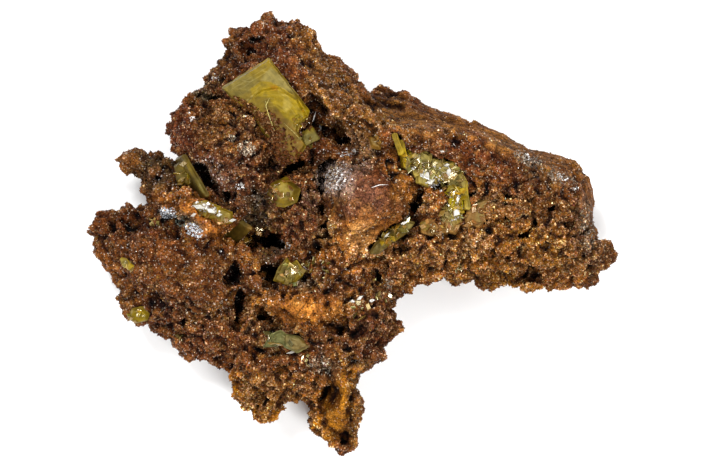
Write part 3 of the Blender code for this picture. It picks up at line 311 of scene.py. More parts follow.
def zone_weights(points):
    """How much each kind of surface holds at each point; the smooth places come first."""
    warp = np.stack([soft_noise(points, 2.2, 31 + i) for i in range(2)], axis=1) * EDGE_WARP
    zones = dict(spongy=SPONGY, cauliflower=CAULIFLOWER, granular=GRANULAR, smooth=SMOOTH,
                 velvet=VELVET)
    weights = {name: any_patch(points, places, warp) for name, places in zones.items()}
    calm = 1 - weights["smooth"]
    for name in ("spongy", "cauliflower", "granular"):
        weights[name] = weights[name] * calm
    return weights


def keep_flat(points, moved):
    """Leave the sawn flat of the back where it is."""
    held = np.clip((points[:, 2] - FLAT_BACK) / FLAT_RIM, 0.0, 1.0)[:, None]
    moved = points + (moved - points) * held
    moved[:, 2] = np.maximum(moved[:, 2], 0.0)
    return moved


def distance_to_path(plan, path):
    """Distance in plan from each point to a line through the path's points."""
    nearest = np.full(len(plan), np.inf)
    for a, b in zip(path[:-1], path[1:]):
        a, along = np.array(a), np.subtract(b, a)
        share = np.clip((plan - a) @ along / (along @ along), 0.0, 1.0)
        gap = plan - a - share[:, None] * along
        nearest = np.minimum(nearest, np.hypot(gap[:, 0], gap[:, 1]))
    return nearest


def fractured(points, size, salt, crack_width):
    """Blocks split by cracks: the height of each block's tilted top, how near a crack is, a dome
    over each block, and the distance to its middle."""
    near, after, tone, plane = facets(points, size, salt)
    crack = np.clip(1.0 - (after - near) * size / crack_width, 0.0, 1.0)
    dome = np.sqrt(np.clip(1.0 - (near / 0.8) ** 2, 0.0, 1.0))
    return tone - 0.5 + plane, crack, dome, near


def raise_relief(skin):
    """Lumps of 1 to 5 mm: blocks, rounded knobs, a spongy crust and the gaps between them."""
    points, normals = get_points(skin), get_normals(skin)
    zone = zone_weights(points)
    calm = 1 - np.maximum(0.9 * zone["smooth"], 0.6 * zone["velvet"])
    bend = np.stack([layered_noise(points, 1.8, 35 + 4 * i, 2) for i in range(3)], axis=1)
    bent = points + 0.6 * bend
    shift = SWELL * layered_noise(points, 3.4, 41, 3) * (0.3 + 0.7 * calm)
    block, crack, _, _ = fractured(bent, BLOCKS, 46, 0.6)
    shift += (BLOCK_RISE * block - BLOCK_CRACK * crack) * calm
    block, crack, dome, near = fractured(bent, KNOBS, 51, 0.5)
    knobs = KNOB_RISE * dome - KNOB_FOOT - KNOB_CRACK * crack + KNOB_TILT * block
    shift += zone["cauliflower"] * knobs
    chips = CHIP_RISE * (0.5 - near) + CHIP_TILT * block - CHIP_CRACK * crack
    shift += chips * calm * (1 - zone["cauliflower"])
    near, _, tone, _ = facets(bent, PORES, 61)
    pore = np.clip(1.25 - near / 0.45, 0.0, 1.0) * (tone < 0.5)
    shift -= zone["spongy"] * PORE_DEPTH * pore
    shift += zone["spongy"] * PORE_RIM * (0.5 - near) * (tone > 0.5)
    pore = np.clip(1.2 - near / 0.42, 0.0, 1.0) * (tone < 0.15)
    shift -= STRAY_PORE_DEPTH * pore * calm * (1 - zone["velvet"])
    near, _, _, plane = facets(bent, KERNELS, 71)
    shift += zone["granular"] * KERNEL_RISE * (0.55 - near)
    shift += (0.2 * (0.55 - near) + KERNEL_TILT * plane) * calm
    plan = points[:, :2] - DRAWN_SHIFT
    for path, height, width in CRESTS:
        away = distance_to_path(plan + 0.4 * bend[:, :2], path)
        shift += height * np.clip(1.0 - away / width, 0.0, 1.0) * np.clip(normals[:, 2], 0, 1)
    moved = points + normals * shift[:, None]
    on_face = np.clip(normals[:, 2] * 3, 0.0, 1.0)
    for x, y, radius in HOLES:
        away = np.hypot(*(plan + 0.9 * bend[:, :2] - (x, y)).T) / radius
        sink = np.clip(1.5 - away, 0.0, 1.0)
        moved[:, 2] -= on_face * HOLE_DEPTH * radius * sink * sink * (3 - 2 * sink)
    for path, width, depth in CRACKS:
        away = distance_to_path(plan + 0.5 * bend[:, :2], path)
        moved[:, 2] -= on_face * depth * np.clip(1.3 - away / width, 0.0, 1.0)
    set_points(skin, keep_flat(points, moved))


def raise_grit(skin):
    """Fine grit under 1 mm on the finished skin, and streaks along the smooth outer side."""
    points, normals = get_points(skin), get_normals(skin)
    zone = zone_weights(points)
    calm = 1 - 0.85 * zone["smooth"]
    near, _, tone, _ = facets(points, GRIT, 81)
    shift = GRIT_RISE * (0.5 - near) + GRIT_STEP * (tone - 0.5)
    shift *= calm * (0.6 + 0.4 * np.maximum(zone["spongy"], zone["granular"]))
    shift += ROUGHNESS * soft_noise(points, 0.45, 91)
    trend = np.where(points[:, 1] < PRONG_TOP, PRONG_TREND, OUTER_TREND)
    c, s = np.cos(trend), np.sin(trend)
    along = points[:, 0] * c + points[:, 1] * s
    across = points[:, 1] * c - points[:, 0] * s
    streak = soft_noise(np.stack([along / 7, across, points[:, 2]], axis=1), 0.7, 95)
    shift += STREAK_RISE * streak * zone["smooth"]
    set_points(skin, keep_flat(points, points + normals * shift[:, None]))


# ---------------------------------------------------------------- grains and druse
TETRAHEDRON = np.array([(1, 1, 1), (-1, -1, 1), (-1, 1, -1), (1, -1, -1)], float) * 0.75
TETRAHEDRON_FACES = np.array([(0, 2, 1), (0, 1, 3), (0, 3, 2), (1, 2, 3)])
GRAIN_CORNERS = 4
GRAIN_LIFT = 0.25        # how far a grain's middle stands off the skin, in its own radii
GRAIN_FLOOR = 0.02       # no grain reaches below this height
GRAIN_STRETCH = (0.65, 1.35)
CRUMBS = 46000           # in each mesh of crumbs
# Smallest and largest grains, and the range of their polish.
CRUMB_RADII, DRUSE_RADII, PALE_RADII, RIM_RADII = (
    (0.06, 0.18), (0.055, 0.15), (0.07, 0.20), (0.12, 0.26))
CRUMB_GLOSS, DRUSE_GLOSS, PALE_GLOSS = (0.1, 0.6), (0.5, 1.0), (0.3, 1.0)
# Middle and spread of the logarithm of the grains' brightness.
CRUMB_TONE, DRUSE_TONE, PALE_TONE, RIM_TONE = (
    (0.10, 0.74), (0.04, 0.72), (-0.3, 0.5), (-0.1, 0.55))
HUE_SPREAD = (0.12, 0.10, 0.28)        # how far single crumbs wander in red, green and blue
SPARKLING = 0.10                       # share of the druse that is nearly white
DUST = np.array([1.32, 1.04, 0.66])    # tint of dusty grains, round their own brightness
REDDEN = np.array([1.0, 1.12, 1.25])   # powers that turn dark grains redder and light ones paler
DARKEST = 0.002                        # no painted colour falls below this


def scatter(skin, count, density, rng):
    """Places on the skin, more where density is high: points, normals and the skin's tint."""
    points, normals, tint = get_points(skin), get_normals(skin), read_colours(skin)
    triangles = get_triangles(skin)
    corners = points[triangles]
    area = np.linalg.norm(np.cross(corners[:, 1] - corners[:, 0], corners[:, 2] - corners[:, 0]),
                          axis=1)
    weight = area * density[triangles].mean(axis=1)
    chosen = rng.choice(len(triangles), count, p=weight / weight.sum())
    u, v = np.sqrt(rng.random(count)), rng.random(count)
    share = np.stack([1 - u, u * (1 - v), u * v], axis=1)[:, :, None]
    picked = triangles[chosen]
    return [(values[picked] * share).sum(axis=1) for values in (points, normals, tint)]


def random_turns(count, rng):
    """Rotation matrices in every direction alike."""
    q = rng.normal(size=(count, 4))
    w, x, y, z = (q / np.linalg.norm(q, axis=1, keepdims=True)).T
    rows = [[1 - 2 * (y * y + z * z), 2 * (x * y - z * w), 2 * (x * z + y * w)],
            [2 * (x * y + z * w), 1 - 2 * (x * x + z * z), 2 * (y * z - x * w)],
            [2 * (x * z - y * w), 2 * (y * z + x * w), 1 - 2 * (x * x + y * y)]]
    return np.array(rows).transpose(2, 0, 1)


def make_grains(name, places, normals, radii, tints, gloss, rng):
    """Four-sided crystals or crumbs, turned every way and half sunk in the skin."""
    count = len(places)
    stretch = rng.uniform(*GRAIN_STRETCH, (count, 1, 3))
    shape = TETRAHEDRON[None] * stretch * radii[:, None, None]
    shape = np.einsum("nij,nkj->nki", random_turns(count, rng), shape)
    shape += (places + normals * radii[:, None] * GRAIN_LIFT)[:, None, :]
    shape[:, :, 2] = np.maximum(shape[:, :, 2], GRAIN_FLOOR)
    faces = TETRAHEDRON_FACES[None] + GRAIN_CORNERS * np.arange(count)[:, None, None]
    grains = make_mesh(name, shape.reshape(-1, 3), faces.reshape(-1, 3))
    grains.data.shade_flat()
    paint(grains, np.repeat(tints, GRAIN_CORNERS, axis=0), np.repeat(gloss, GRAIN_CORNERS))
    return grains


def crumb_density(points, normals, zone):
    """Crumbs are thinner on the sides, and few on smooth places and on the back."""
    side = np.clip(0.35 + 0.85 * normals[:, 2], 0.12, 1.0)
    back = np.clip(points[:, 2] / 1.5 - 0.2, 0.0, 1.0)
    return side * back * (1 - 0.85 * zone["smooth"])


def grain_tones(count, tone, rng):
    """A random brightness for each grain, with a small hue of its own."""
    return np.exp(rng.normal(*tone, (count, 1)) + rng.normal(0, HUE_SPREAD, (count, 3)))


def toned(tint, tone):
    """Lighter and darker grains; the light ones are also dustier."""
    colour = tint * tone ** REDDEN
    dusty = 0.55 * np.clip(tone - 0.8, 0.0, 1.0)
    return colour + (colour.mean(axis=1, keepdims=True) * DUST - colour) * dusty


def make_crumbs(skin, rng):
    """The crust's limonite crumbs and the sugar-like druse on the dark faces."""
    points, normals = get_points(skin), get_normals(skin)
    zone = zone_weights(points)
    density = crumb_density(points, normals, zone)
    earthy = np.clip(0.25 + zone["spongy"] + zone["granular"] + zone["cauliflower"], 0, 1)
    made = []
    for number in range(2):
        places, up, tint = scatter(skin, CRUMBS, density * earthy, rng)
        radii = rng.uniform(*CRUMB_RADII, CRUMBS)
        tint = toned(tint, grain_tones(CRUMBS, CRUMB_TONE, rng))
        gloss = rng.uniform(*CRUMB_GLOSS, CRUMBS)
        made.append(make_grains(f"limonite_crumbs_{number + 1}", places, up, radii,
                                np.clip(tint, DARKEST, 0.85), gloss, rng))
    places, up, tint = scatter(skin, CRUMBS, density * (1.15 - earthy), rng)
    radii = rng.uniform(*DRUSE_RADII, CRUMBS)
    tone = grain_tones(CRUMBS, DRUSE_TONE, rng)
    bright = (rng.random(CRUMBS) < SPARKLING)[:, None]
    tint = toned(tint, tone) * (1 - bright) + (0.6 * tint + 0.4 * COLOURS["sparkle"]) * bright
    gloss = rng.uniform(*DRUSE_GLOSS, CRUMBS)
    made.append(make_grains("sugar_druse", places, up, radii, np.clip(tint, DARKEST, 0.9),
                            gloss, rng))
    return made


# ---------------------------------------------------------------- gossan colours
def srgb(red, green, blue):
    """A screen colour, 0 to 255, as the linear one that shaders take."""
    share = np.array([red, green, blue]) / 255
    return np.where(share <= 0.04045, share / 12.92, ((share + 0.055) / 1.055) ** 2.4)


# The near-black colour is painted shade, laid in cracks, holes and the deepest hollows.
COLOURS = dict(
    brown=srgb(120, 80, 44), maroon=srgb(110, 63, 41), purple=srgb(108, 74, 62),
    rust=srgb(136, 84, 40), ochre=srgb(156, 110, 48), orange=srgb(194, 130, 56),
    bright=srgb(220, 152, 68), gold=srgb(172, 120, 30), tan=srgb(146, 106, 54),
    shade_black=srgb(46, 25, 13), green_black=srgb(58, 60, 46), grey=srgb(122, 108, 92),
    lilac=srgb(156, 136, 128), dark_brown=srgb(80, 41, 21), sparkle=srgb(225, 210, 190),
    white=srgb(222, 216, 210), teal=srgb(108, 116, 108), beige=srgb(190, 172, 148),
    straw=srgb(214, 200, 120), apricot=srgb(226, 176, 112), mustard=srgb(176, 116, 2),
    silver=srgb(204, 208, 214))

# Colour patches, laid one over the other in coats: colour, strength, then the oval.
# The near-black ovals are painted shade in cracks and holes; the ovals marked below are painted
# light over spots in shade.
TINTS = [
    # First coat, the peak and its ridge
    ("maroon", 0.7, (-11.5, 27.5, 5.0, 5.0, 0)), ("maroon", 0.3, (-2.0, 18.0, 5.0, 3.5, -60)),
    ("tan", 0.5, (-1.0, 17.0, 2.4, 2.8, 0)), ("ochre", 0.7, (-5.0, 24.0, 4.0, 3.5, -45)),
    ("tan", 0.6, (-4.4, 22.4, 4.0, 2.4, -40)), ("ochre", 0.7, (-5.5, 28.5, 1.8, 4.0, 30)),
    ("maroon", 0.6, (-8.2, 24.4, 1.0, 2.0, -30)), ("maroon", 0.4, (-6.0, 22.4, 1.3, 1.3, 0)),
    # First coat, the tongue
    ("maroon", 0.85, (-25.0, 16.0, 2.6, 4.0, 20)), ("purple", 0.6, (-18.5, 8.5, 4.0, 4.5, 30)),
    ("rust", 0.7, (-21.5, 13.0, 3.5, 1.6, -50)), ("maroon", 0.5, (-26.6, 15.6, 1.2, 4.0, 10)),
    ("grey", 0.45, (-20.0, 10.0, 1.4, 3.0, 40)), ("ochre", 0.55, (-17.5, 17.5, 5.5, 3.5, 10)),
    ("rust", 0.6, (-17.5, 30.5, 1.8, 2.0, 0)), ("shade_black", 0.55, (-18.5, 25.8, 2.6, 2.0, 40)),
    ("grey", 0.2, (-21.0, 24.0, 2.0, 1.6, 30)), ("green_black", 0.85, (-22.4, 21.8, 1.4, 1.1, 0)),
    ("dark_brown", 0.4, (-25.0, 17.2, 1.6, 1.6, 0)), ("dark_brown", 0.4, (-17.8, 24.8, 1.6, 1.1, 0)),
    ("brown", 0.5, (-22.6, 10.2, 1.4, 1.1, 0)), ("dark_brown", 0.35, (-15.4, 15.2, 1.6, 1.4, 0)),
    # painted light: the tan oval at (-22.6, 10.4) lightens a spot that lies in shade
    ("tan", 0.5, (-22.6, 10.4, 1.2, 1.1, 0)), ("dark_brown", 0.4, (-15.4, 15.2, 1.3, 1.2, 0)),
    ("dark_brown", 0.3, (-13.6, 17.2, 2.6, 1.2, 0)), ("dark_brown", 0.3, (-25.0, 17.0, 1.4, 1.2, 0)),
    # First coat, the left lobe, its shell-like rim and the horn
    ("ochre", 0.5, (-33.4, 10.8, 1.9, 1.4, 0)), ("green_black", 0.75, (-29.5, 9.6, 3.4, 2.6, -25)),
    ("rust", 0.4, (-30.0, 9.0, 1.5, 1.0, 0)), ("orange", 0.7, (-34.2, 3.9, 1.4, 0.9, 0)),
    ("shade_black", 0.6, (-32.4, 2.2, 2.0, 1.4, 30)), ("shade_black", 0.4, (-34.4, 2.2, 3.2, 1.8, 20)),
    ("rust", 0.6, (-35.5, 2.0, 3.0, 2.5, 30)), ("dark_brown", 0.4, (-33.8, 11.2, 1.0, 0.9, 0)),
    # First coat, the right arm
    ("maroon", 0.7, (14.0, 12.0, 9.0, 3.6, -18)), ("maroon", 0.5, (22.0, 9.8, 6.0, 2.6, -20)),
    ("rust", 0.6, (20.0, 10.5, 6.0, 2.2, -20)),
    # Second coat, the peak and its ridge
    ("tan", 0.75, (1.2, 20.0, 6.5, 1.1, -43)), ("tan", 0.6, (7.0, 16.2, 7.0, 1.0, -18)),
    # Second coat, the tongue
    ("orange", 0.5, (-25.8, 6.4, 3.6, 1.5, 8)),
    # Second coat, the left lobe, its shell-like rim and the horn
    ("orange", 0.65, (-22.2, 3.6, 4.0, 2.2, -40)), ("rust", 0.6, (-21.0, 0.9, 3.0, 1.6, -20)),
    ("rust", 0.65, (-28.0, -4.0, 7.5, 5.5, -20)), ("brown", 0.5, (-21.0, -7.0, 6.0, 5.0, -20)),
    ("orange", 0.25, (-36.8, -4.6, 5.0, 1.0, -52)), ("ochre", 0.6, (-34.0, -9.0, 2.5, 1.2, -50)),
    ("shade_black", 0.6, (-29.0, -9.4, 1.8, 1.3, 0)), ("maroon", 0.4, (-25.5, -13.2, 7.0, 3.0, -38)),
    ("rust", 0.4, (-20.0, -14.0, 4.0, 2.4, -38)), ("bright", 0.85, (-17.2, -1.0, 1.3, 1.3, 0)),
    ("orange", 0.75, (-14.4, -3.4, 1.6, 1.2, 0)), ("shade_black", 0.85, (-13.2, 1.0, 3.0, 2.4, -20)),
    ("green_black", 0.7, (-13.6, 4.6, 3.4, 1.8, -55)), ("dark_brown", 0.6, (-28.8, -14.0, 3.2, 1.2, -35)),
    ("dark_brown", 0.5, (-30.4, 0.9, 4.6, 1.5, -5)), ("dark_brown", 0.45, (-36.6, -0.6, 1.8, 2.6, 0)),
    ("dark_brown", 0.35, (-34.6, -8.6, 1.6, 1.6, 0)), ("dark_brown", 0.45, (-34.8, 3.0, 2.4, 1.2, 10)),
    ("dark_brown", 0.4, (-25.4, 5.8, 2.2, 1.0, 10)), ("dark_brown", 0.4, (-22.6, -9.0, 2.2, 1.6, 0)),
    ("brown", 0.4, (-22.6, 0.6, 1.6, 1.0, -20)), ("orange", 0.4, (-20.2, 0.4, 1.2, 1.0, 0)),
    ("tan", 0.45, (-20.2, -11.4, 1.4, 1.2, 0)), ("dark_brown", 0.35, (-29.8, 0.4, 1.6, 1.4, 0)),
    ("dark_brown", 0.4, (-27.4, -13.8, 1.6, 1.2, 0)), ("grey", 0.7, (-27.3, 3.5, 1.5, 1.0, -10)),
    ("teal", 0.6, (-24.4, 1.6, 2.2, 1.0, -30)),
    # Second coat, the boulder and the knobs left of it
    ("green_black", 0.7, (-11.6, -4.0, 1.5, 3.0, 0)), ("maroon", 0.5, (-7.8, 3.5, 4.0, 4.5, 0)),
    ("lilac", 0.75, (-1.2, 8.8, 3.4, 2.4, 35)), ("purple", 0.8, (2.8, 5.6, 5.0, 4.6, 0)),
    ("rust", 0.6, (5.0, 9.0, 4.0, 3.0, -30)), ("orange", 0.85, (0.6, 0.2, 3.6, 2.6, 20)),
    ("bright", 0.6, (0.2, -0.2, 2.4, 1.8, 0)), ("tan", 0.5, (1.2, -0.6, 3.8, 2.0, 10)),
    ("ochre", 0.8, (7.9, 7.4, 1.4, 2.2, 20)), ("orange", 0.7, (-1.4, -2.0, 4.5, 1.2, 15)),
    ("rust", 0.6, (4.0, 1.0, 2.5, 2.5, 0)), ("apricot", 0.4, (-3.8, 0.6, 1.0, 1.4, 0)),
    ("lilac", 0.5, (-3.0, 9.6, 1.6, 2.0, 0)), ("dark_brown", 0.6, (-6.0, 12.4, 1.2, 1.4, 0)),
    # painted light: the beige oval at (-3.6, 10.2) lightens a spot that lies in shade
    ("beige", 0.45, (-3.6, 10.2, 1.2, 1.6, 0)), ("lilac", 0.3, (-5.8, 5.4, 1.2, 1.4, 0)),
    ("tan", 0.4, (-10.6, 3.0, 1.4, 1.3, 0)), ("lilac", 0.3, (-10.8, -1.6, 1.2, 1.0, 0)),
    ("dark_brown", 0.4, (-6.0, 12.8, 1.0, 1.0, 0)),
    # Second coat, the right arm
    ("tan", 0.8, (9.0, 18.0, 7.5, 1.7, -17)), ("ochre", 0.7, (18.0, 16.2, 7.0, 1.6, -24)),
    ("tan", 0.7, (26.0, 13.0, 7.0, 1.6, -20)), ("ochre", 0.6, (32.0, 10.8, 4.0, 1.6, -18)),
    ("brown", 0.6, (36.2, 5.0, 1.6, 5.0, 5)), ("grey", 0.4, (29.5, 9.6, 5.0, 1.2, -24)),
    ("brown", 0.5, (30.0, 11.0, 3.4, 1.4, -20)), ("orange", 0.8, (12.2, 6.4, 2.6, 2.0, 0)),
    ("ochre", 0.75, (23.0, -2.6, 12.5, 4.2, 0)), ("ochre", 0.55, (24.0, 3.0, 8.0, 4.0, 0)),
    ("orange", 0.35, (24.6, -0.8, 7.0, 4.0, 0)), ("gold", 0.75, (29.5, -1.2, 5.0, 2.0, -6)),
    ("ochre", 0.6, (11.5, -3.6, 5.0, 2.6, 0)), ("gold", 0.4, (16.0, -4.6, 5.0, 1.6, 0)),
    ("brown", 0.7, (36.0, -3.2, 3.4, 3.6, 0)), ("grey", 0.35, (35.5, 1.5, 1.6, 4.5, 0)),
    ("orange", 0.65, (20.6, 7.8, 1.8, 1.3, 0)), ("gold", 0.6, (18.6, -4.6, 4.0, 1.4, 0)),
    ("orange", 0.6, (8.6, 7.6, 1.1, 1.8, 0)), ("orange", 0.5, (13.6, 0.2, 2.6, 1.2, 0)),
    ("rust", 0.5, (25.4, 7.8, 1.8, 1.4, 0)), ("dark_brown", 0.4, (32.6, 5.4, 1.6, 1.4, 0)),
    # painted light: the apricot oval at (11.0, 5.4), here and two lines down, lightens a shaded
    # hollow
    ("apricot", 0.4, (11.0, 5.4, 1.4, 1.1, 0)), ("apricot", 0.35, (20.6, 5.4, 1.4, 1.1, 0)),
    ("maroon", 0.5, (20.6, 12.6, 2.0, 1.1, -20)), ("orange", 0.4, (20.6, 7.8, 1.4, 1.2, 0)),
    ("apricot", 0.4, (11.0, 5.4, 1.3, 1.1, 0)), ("maroon", 0.5, (18.4, 14.6, 2.0, 0.9, -24)),
    ("maroon", 0.4, (18.2, 15.2, 1.6, 0.9, -24)),
    # Third coat, the peak and its ridge
    ("shade_black", 0.6, (5.5, 20.8, 3.6, 1.0, -10)), ("tan", 0.7, (2.6, 13.8, 3.2, 1.8, -40)),
    ("beige", 0.25, (1.8, 13.8, 2.2, 1.8, 0)), ("brown", 0.4, (1.4, 22.2, 2.0, 0.8, -43)),
    ("dark_brown", 0.35, (-1.0, 12.6, 1.2, 1.0, 0)), ("tan", 0.6, (3.8, 15.0, 1.5, 1.3, 0)),
    ("tan", 0.4, (-1.0, 17.4, 1.4, 1.3, 0)), ("tan", 0.4, (-1.0, 22.2, 1.3, 1.1, -45)),
    ("tan", 0.4, (-0.8, 22.0, 1.2, 1.0, -45)), ("dark_brown", 0.35, (1.4, 22.4, 1.6, 0.8, -43)),
    ("orange", 0.4, (-1.0, 22.2, 1.5, 1.5, 0)),
    # Third coat, the tongue
    ("purple", 0.35, (-20.5, 8.0, 4.0, 4.0, 0)),
    # Third coat, the left lobe, its shell-like rim and the horn
    ("green_black", 0.5, (-13.0, -8.0, 4.0, 1.0, 0)), ("bright", 0.7, (-14.0, -9.8, 2.0, 1.5, -20)),
    ("bright", 0.5, (-14.8, -11.0, 1.2, 0.9, 0)), ("rust", 0.6, (-15.0, -15.0, 2.6, 2.4, 0)),
    ("orange", 0.5, (-27.2, 5.6, 1.4, 1.0, 0)),
    # Third coat, the ledge and the prongs
    ("gold", 0.7, (27.0, -7.6, 3.0, 1.2, 0)), ("green_black", 0.4, (5.8, -8.0, 1.8, 1.4, 0)),
    ("orange", 0.5, (-6.4, -10.4, 4.2, 2.4, 0)), ("bright", 0.4, (-5.6, -11.6, 3.6, 1.2, -4)),
    ("ochre", 0.5, (-1.0, -10.5, 3.0, 1.6, 20)), ("maroon", 0.45, (3.0, -14.5, 4.0, 4.0, 0)),
    ("brown", 0.5, (-8.0, -17.5, 6.0, 2.0, 0)), ("rust", 0.6, (-11.0, -20.0, 6.0, 3.0, 0)),
    ("ochre", 0.8, (-12.5, -24.5, 5.0, 4.5, 0)), ("gold", 0.65, (-15.8, -25.0, 1.4, 4.0, 30)),
    ("gold", 0.75, (-12.6, -28.0, 3.5, 1.4, 0)), ("ochre", 0.7, (-4.5, -23.0, 3.0, 2.5, 0)),
    ("grey", 0.5, (-4.6, -19.3, 1.9, 1.6, 0)), ("gold", 0.85, (-0.8, -22.0, 1.4, 4.0, 0)),
    ("gold", 0.8, (-2.8, -27.6, 3.6, 3.4, -30)), ("ochre", 0.7, (0.4, -28.0, 1.6, 5.0, 0)),
    ("shade_black", 0.3, (-2.8, -24.0, 1.6, 2.2, -35)), ("shade_black", 0.55, (-1.0, -30.0, 1.4, 1.6, 20)),
    ("shade_black", 0.4, (0.3, -25.6, 0.7, 3.0, 5)), ("orange", 0.75, (-5.6, -22.4, 1.5, 2.6, 0)),
    ("mustard", 0.6, (-5.6, -27.8, 1.2, 2.0, 20)), ("mustard", 0.75, (-17.2, -23.0, 1.0, 2.2, 10)),
    ("mustard", 0.7, (-15.2, -26.4, 1.4, 1.2, 0)), ("mustard", 0.85, (-13.0, -28.4, 2.0, 0.9, 0)),
    ("mustard", 0.5, (-3.6, -30.6, 2.0, 1.2, -30)), ("shade_black", 0.6, (1.5, -20.9, 1.1, 1.8, 0)),
    # painted light: the tan ovals near (1.5, -18.7), here and below, lighten a spot that lies in
    # shade
    ("dark_brown", 0.6, (1.5, -16.4, 1.6, 1.3, 0)), ("tan", 0.6, (1.6, -18.8, 1.3, 1.0, 0)),
    ("dark_brown", 0.5, (-5.6, -25.6, 0.9, 1.2, 0)), ("brown", 0.5, (-17.8, -20.8, 1.4, 1.2, 0)),
    ("brown", 0.35, (-15.4, -24.4, 1.3, 2.2, 0)), ("tan", 0.5, (-8.2, -13.8, 1.4, 0.9, 0)),
    ("dark_brown", 0.4, (3.6, -18.4, 1.4, 1.0, 0)), ("tan", 0.6, (1.6, -18.6, 1.3, 1.1, 0)),
    ("orange", 0.4, (-5.8, -21.0, 1.2, 1.3, 0)), ("brown", 0.4, (1.3, -23.4, 1.0, 1.3, 0)),
    ("shade_black", 0.5, (1.5, -21.2, 1.1, 1.5, 0)), ("tan", 0.5, (1.4, -18.8, 1.2, 1.0, 0)),
    ("orange", 0.45, (-5.6, -22.0, 1.2, 1.8, 0)), ("rust", 0.4, (-10.8, -21.0, 1.6, 1.2, 0)),
    ("orange", 0.4, (-5.8, -21.4, 1.5, 1.8, 0)), ("orange", 0.35, (-10.6, -21.0, 1.6, 1.5, 0)),
    ("tan", 0.5, (1.4, -18.6, 1.4, 1.3, 0)), ("dark_brown", 0.5, (1.4, -21.2, 1.2, 1.2, 0)),
    # Third coat, the boulder and the knobs left of it
    # painted light: these two ovals lighten a spot that lies in shade
    ("tan", 0.9, (-6.6, -6.8, 2.6, 1.3, 0)), ("beige", 0.5, (-5.8, -6.6, 1.4, 1.1, 0)),
    ("lilac", 0.5, (1.4, 10.2, 1.6, 1.3, 0)), ("orange", 0.4, (6.2, 10.2, 1.4, 1.3, 0)),
    # painted light: the ovals at (-3.2, 10.0) and (-3.4, 10.2) lighten a spot that lies in shade
    ("beige", 0.5, (-3.2, 10.0, 1.6, 1.6, 0)), ("lilac", 0.6, (-1.4, 7.8, 2.0, 1.4, 0)),
    ("lilac", 0.4, (-3.4, 10.2, 1.5, 1.4, 0)),
    # Third coat, the right arm
    ("rust", 0.5, (5.2, -4.6, 1.6, 2.4, 20)), ("gold", 0.6, (23.0, -6.4, 3.0, 1.2, 0)),
    ("brown", 0.6, (11.0, 19.8, 3.0, 0.8, -17)), ("orange", 0.8, (32.0, -6.5, 3.4, 1.2, 0)),
    ("dark_brown", 0.35, (11.0, 19.6, 3.6, 0.8, -17)),
    # Fourth coat, the left lobe, its shell-like rim and the horn
    ("tan", 0.85, (-13.2, -16.4, 1.5, 1.3, 0)), ("tan", 0.4, (-15.4, -13.8, 1.4, 1.1, 0)),
    # Fourth coat, the ledge and the prongs
    ("tan", 0.45, (-12.8, -16.2, 1.3, 1.2, 0)), ("tan", 0.4, (-10.8, -13.8, 1.3, 1.1, 0)),
    # Fourth coat, the boulder and the knobs left of it
    ("apricot", 0.8, (2.0, -0.6, 2.4, 2.3, 10)), ("rust", 0.5, (-1.0, -0.4, 1.2, 1.8, 0)),
    ("orange", 0.5, (6.2, 3.0, 1.8, 1.6, 0)), ("tan", 0.4, (-3.2, 0.8, 1.4, 1.6, 0)),
    ("apricot", 0.6, (-3.4, 0.6, 1.4, 1.2, 0)), ("dark_brown", 0.35, (-0.8, 0.4, 1.2, 1.2, 0)),
    ("purple", 0.55, (3.0, 6.6, 3.4, 2.8, 0)), ("dark_brown", 0.3, (4.4, 9.0, 1.6, 1.2, -30)),
    ("tan", 0.5, (1.0, 5.0, 1.0, 0.8, 0)), ("tan", 0.5, (2.8, 3.4, 1.4, 0.7, 30)),
    ("purple", 0.4, (-0.8, 3.0, 1.0, 1.4, 0)), ("apricot", 0.4, (-3.2, 0.4, 1.2, 1.0, 0)),
    ("tan", 0.5, (-0.8, 3.2, 1.0, 0.8, 0)), ("apricot", 0.25, (-3.4, 0.4, 1.4, 1.6, 0)),
    # Fourth coat, the right arm
    ("orange", 0.6, (6.0, -4.6, 2.6, 2.8, 0)), ("tan", 0.5, (3.8, -6.8, 1.6, 1.4, 0)),
    ("tan", 0.5, (8.6, -6.4, 1.8, 1.0, 0)), ("tan", 0.5, (8.8, 0.2, 1.8, 1.4, 0)),
    ("orange", 0.8, (13.6, -4.2, 2.8, 1.4, 0)), ("bright", 0.6, (11.4, -6.2, 3.0, 1.2, 15)),
    ("orange", 0.5, (1.4, -4.2, 1.8, 1.1, 0)), ("dark_brown", 0.35, (1.4, -6.8, 1.4, 1.0, 0)),
    # painted light: the bright oval at (18.4, -4.4) lightens the arm's lower edge, which faces away
    # from the key light
    ("bright", 0.5, (18.4, -4.4, 2.8, 1.2, 0)), ("apricot", 0.3, (18.2, -0.6, 1.5, 2.0, 0)),
    ("tan", 0.4, (8.4, 0.4, 1.2, 1.2, 0)), ("dark_brown", 0.35, (1.4, -6.6, 1.3, 1.1, 0)),
    ("gold", 0.5, (23.0, -6.6, 1.8, 0.9, 0)), ("tan", 0.4, (8.6, 0.6, 1.5, 1.4, 0)),
    # Last coat, the left lobe, its shell-like rim and the horn
    ("tan", 0.5, (-13.0, -16.2, 1.6, 1.5, 0)),
    # Last coat, the ledge and the prongs
    ("tan", 0.4, (-10.6, -13.8, 1.5, 1.4, 0)),
    # Last coat, the boulder and the knobs left of it
    ("orange", 0.5, (3.8, 0.4, 1.6, 1.4, 0)), ("dark_brown", 0.35, (1.8, 3.0, 1.5, 1.4, 0)),
    ("dark_brown", 0.3, (-1.0, 0.4, 1.5, 1.3, 0))]


# Sizes of the noises that bend the ovals, fray their rims and vary the base colour.
TINT_BEND, TINT_FRAY, BASE_DRIFT = 3.0, 1.6, 6.0
TINT_SHIFT = 2.2         # how far the ovals are bent
DEPTH_OF_TONE = np.array([0.465, 0.366, 0.272])    # how dark the patch colours are once lit
SKIN_SHADE = 1.12        # brightness of the skin before hollows, mottling and stains
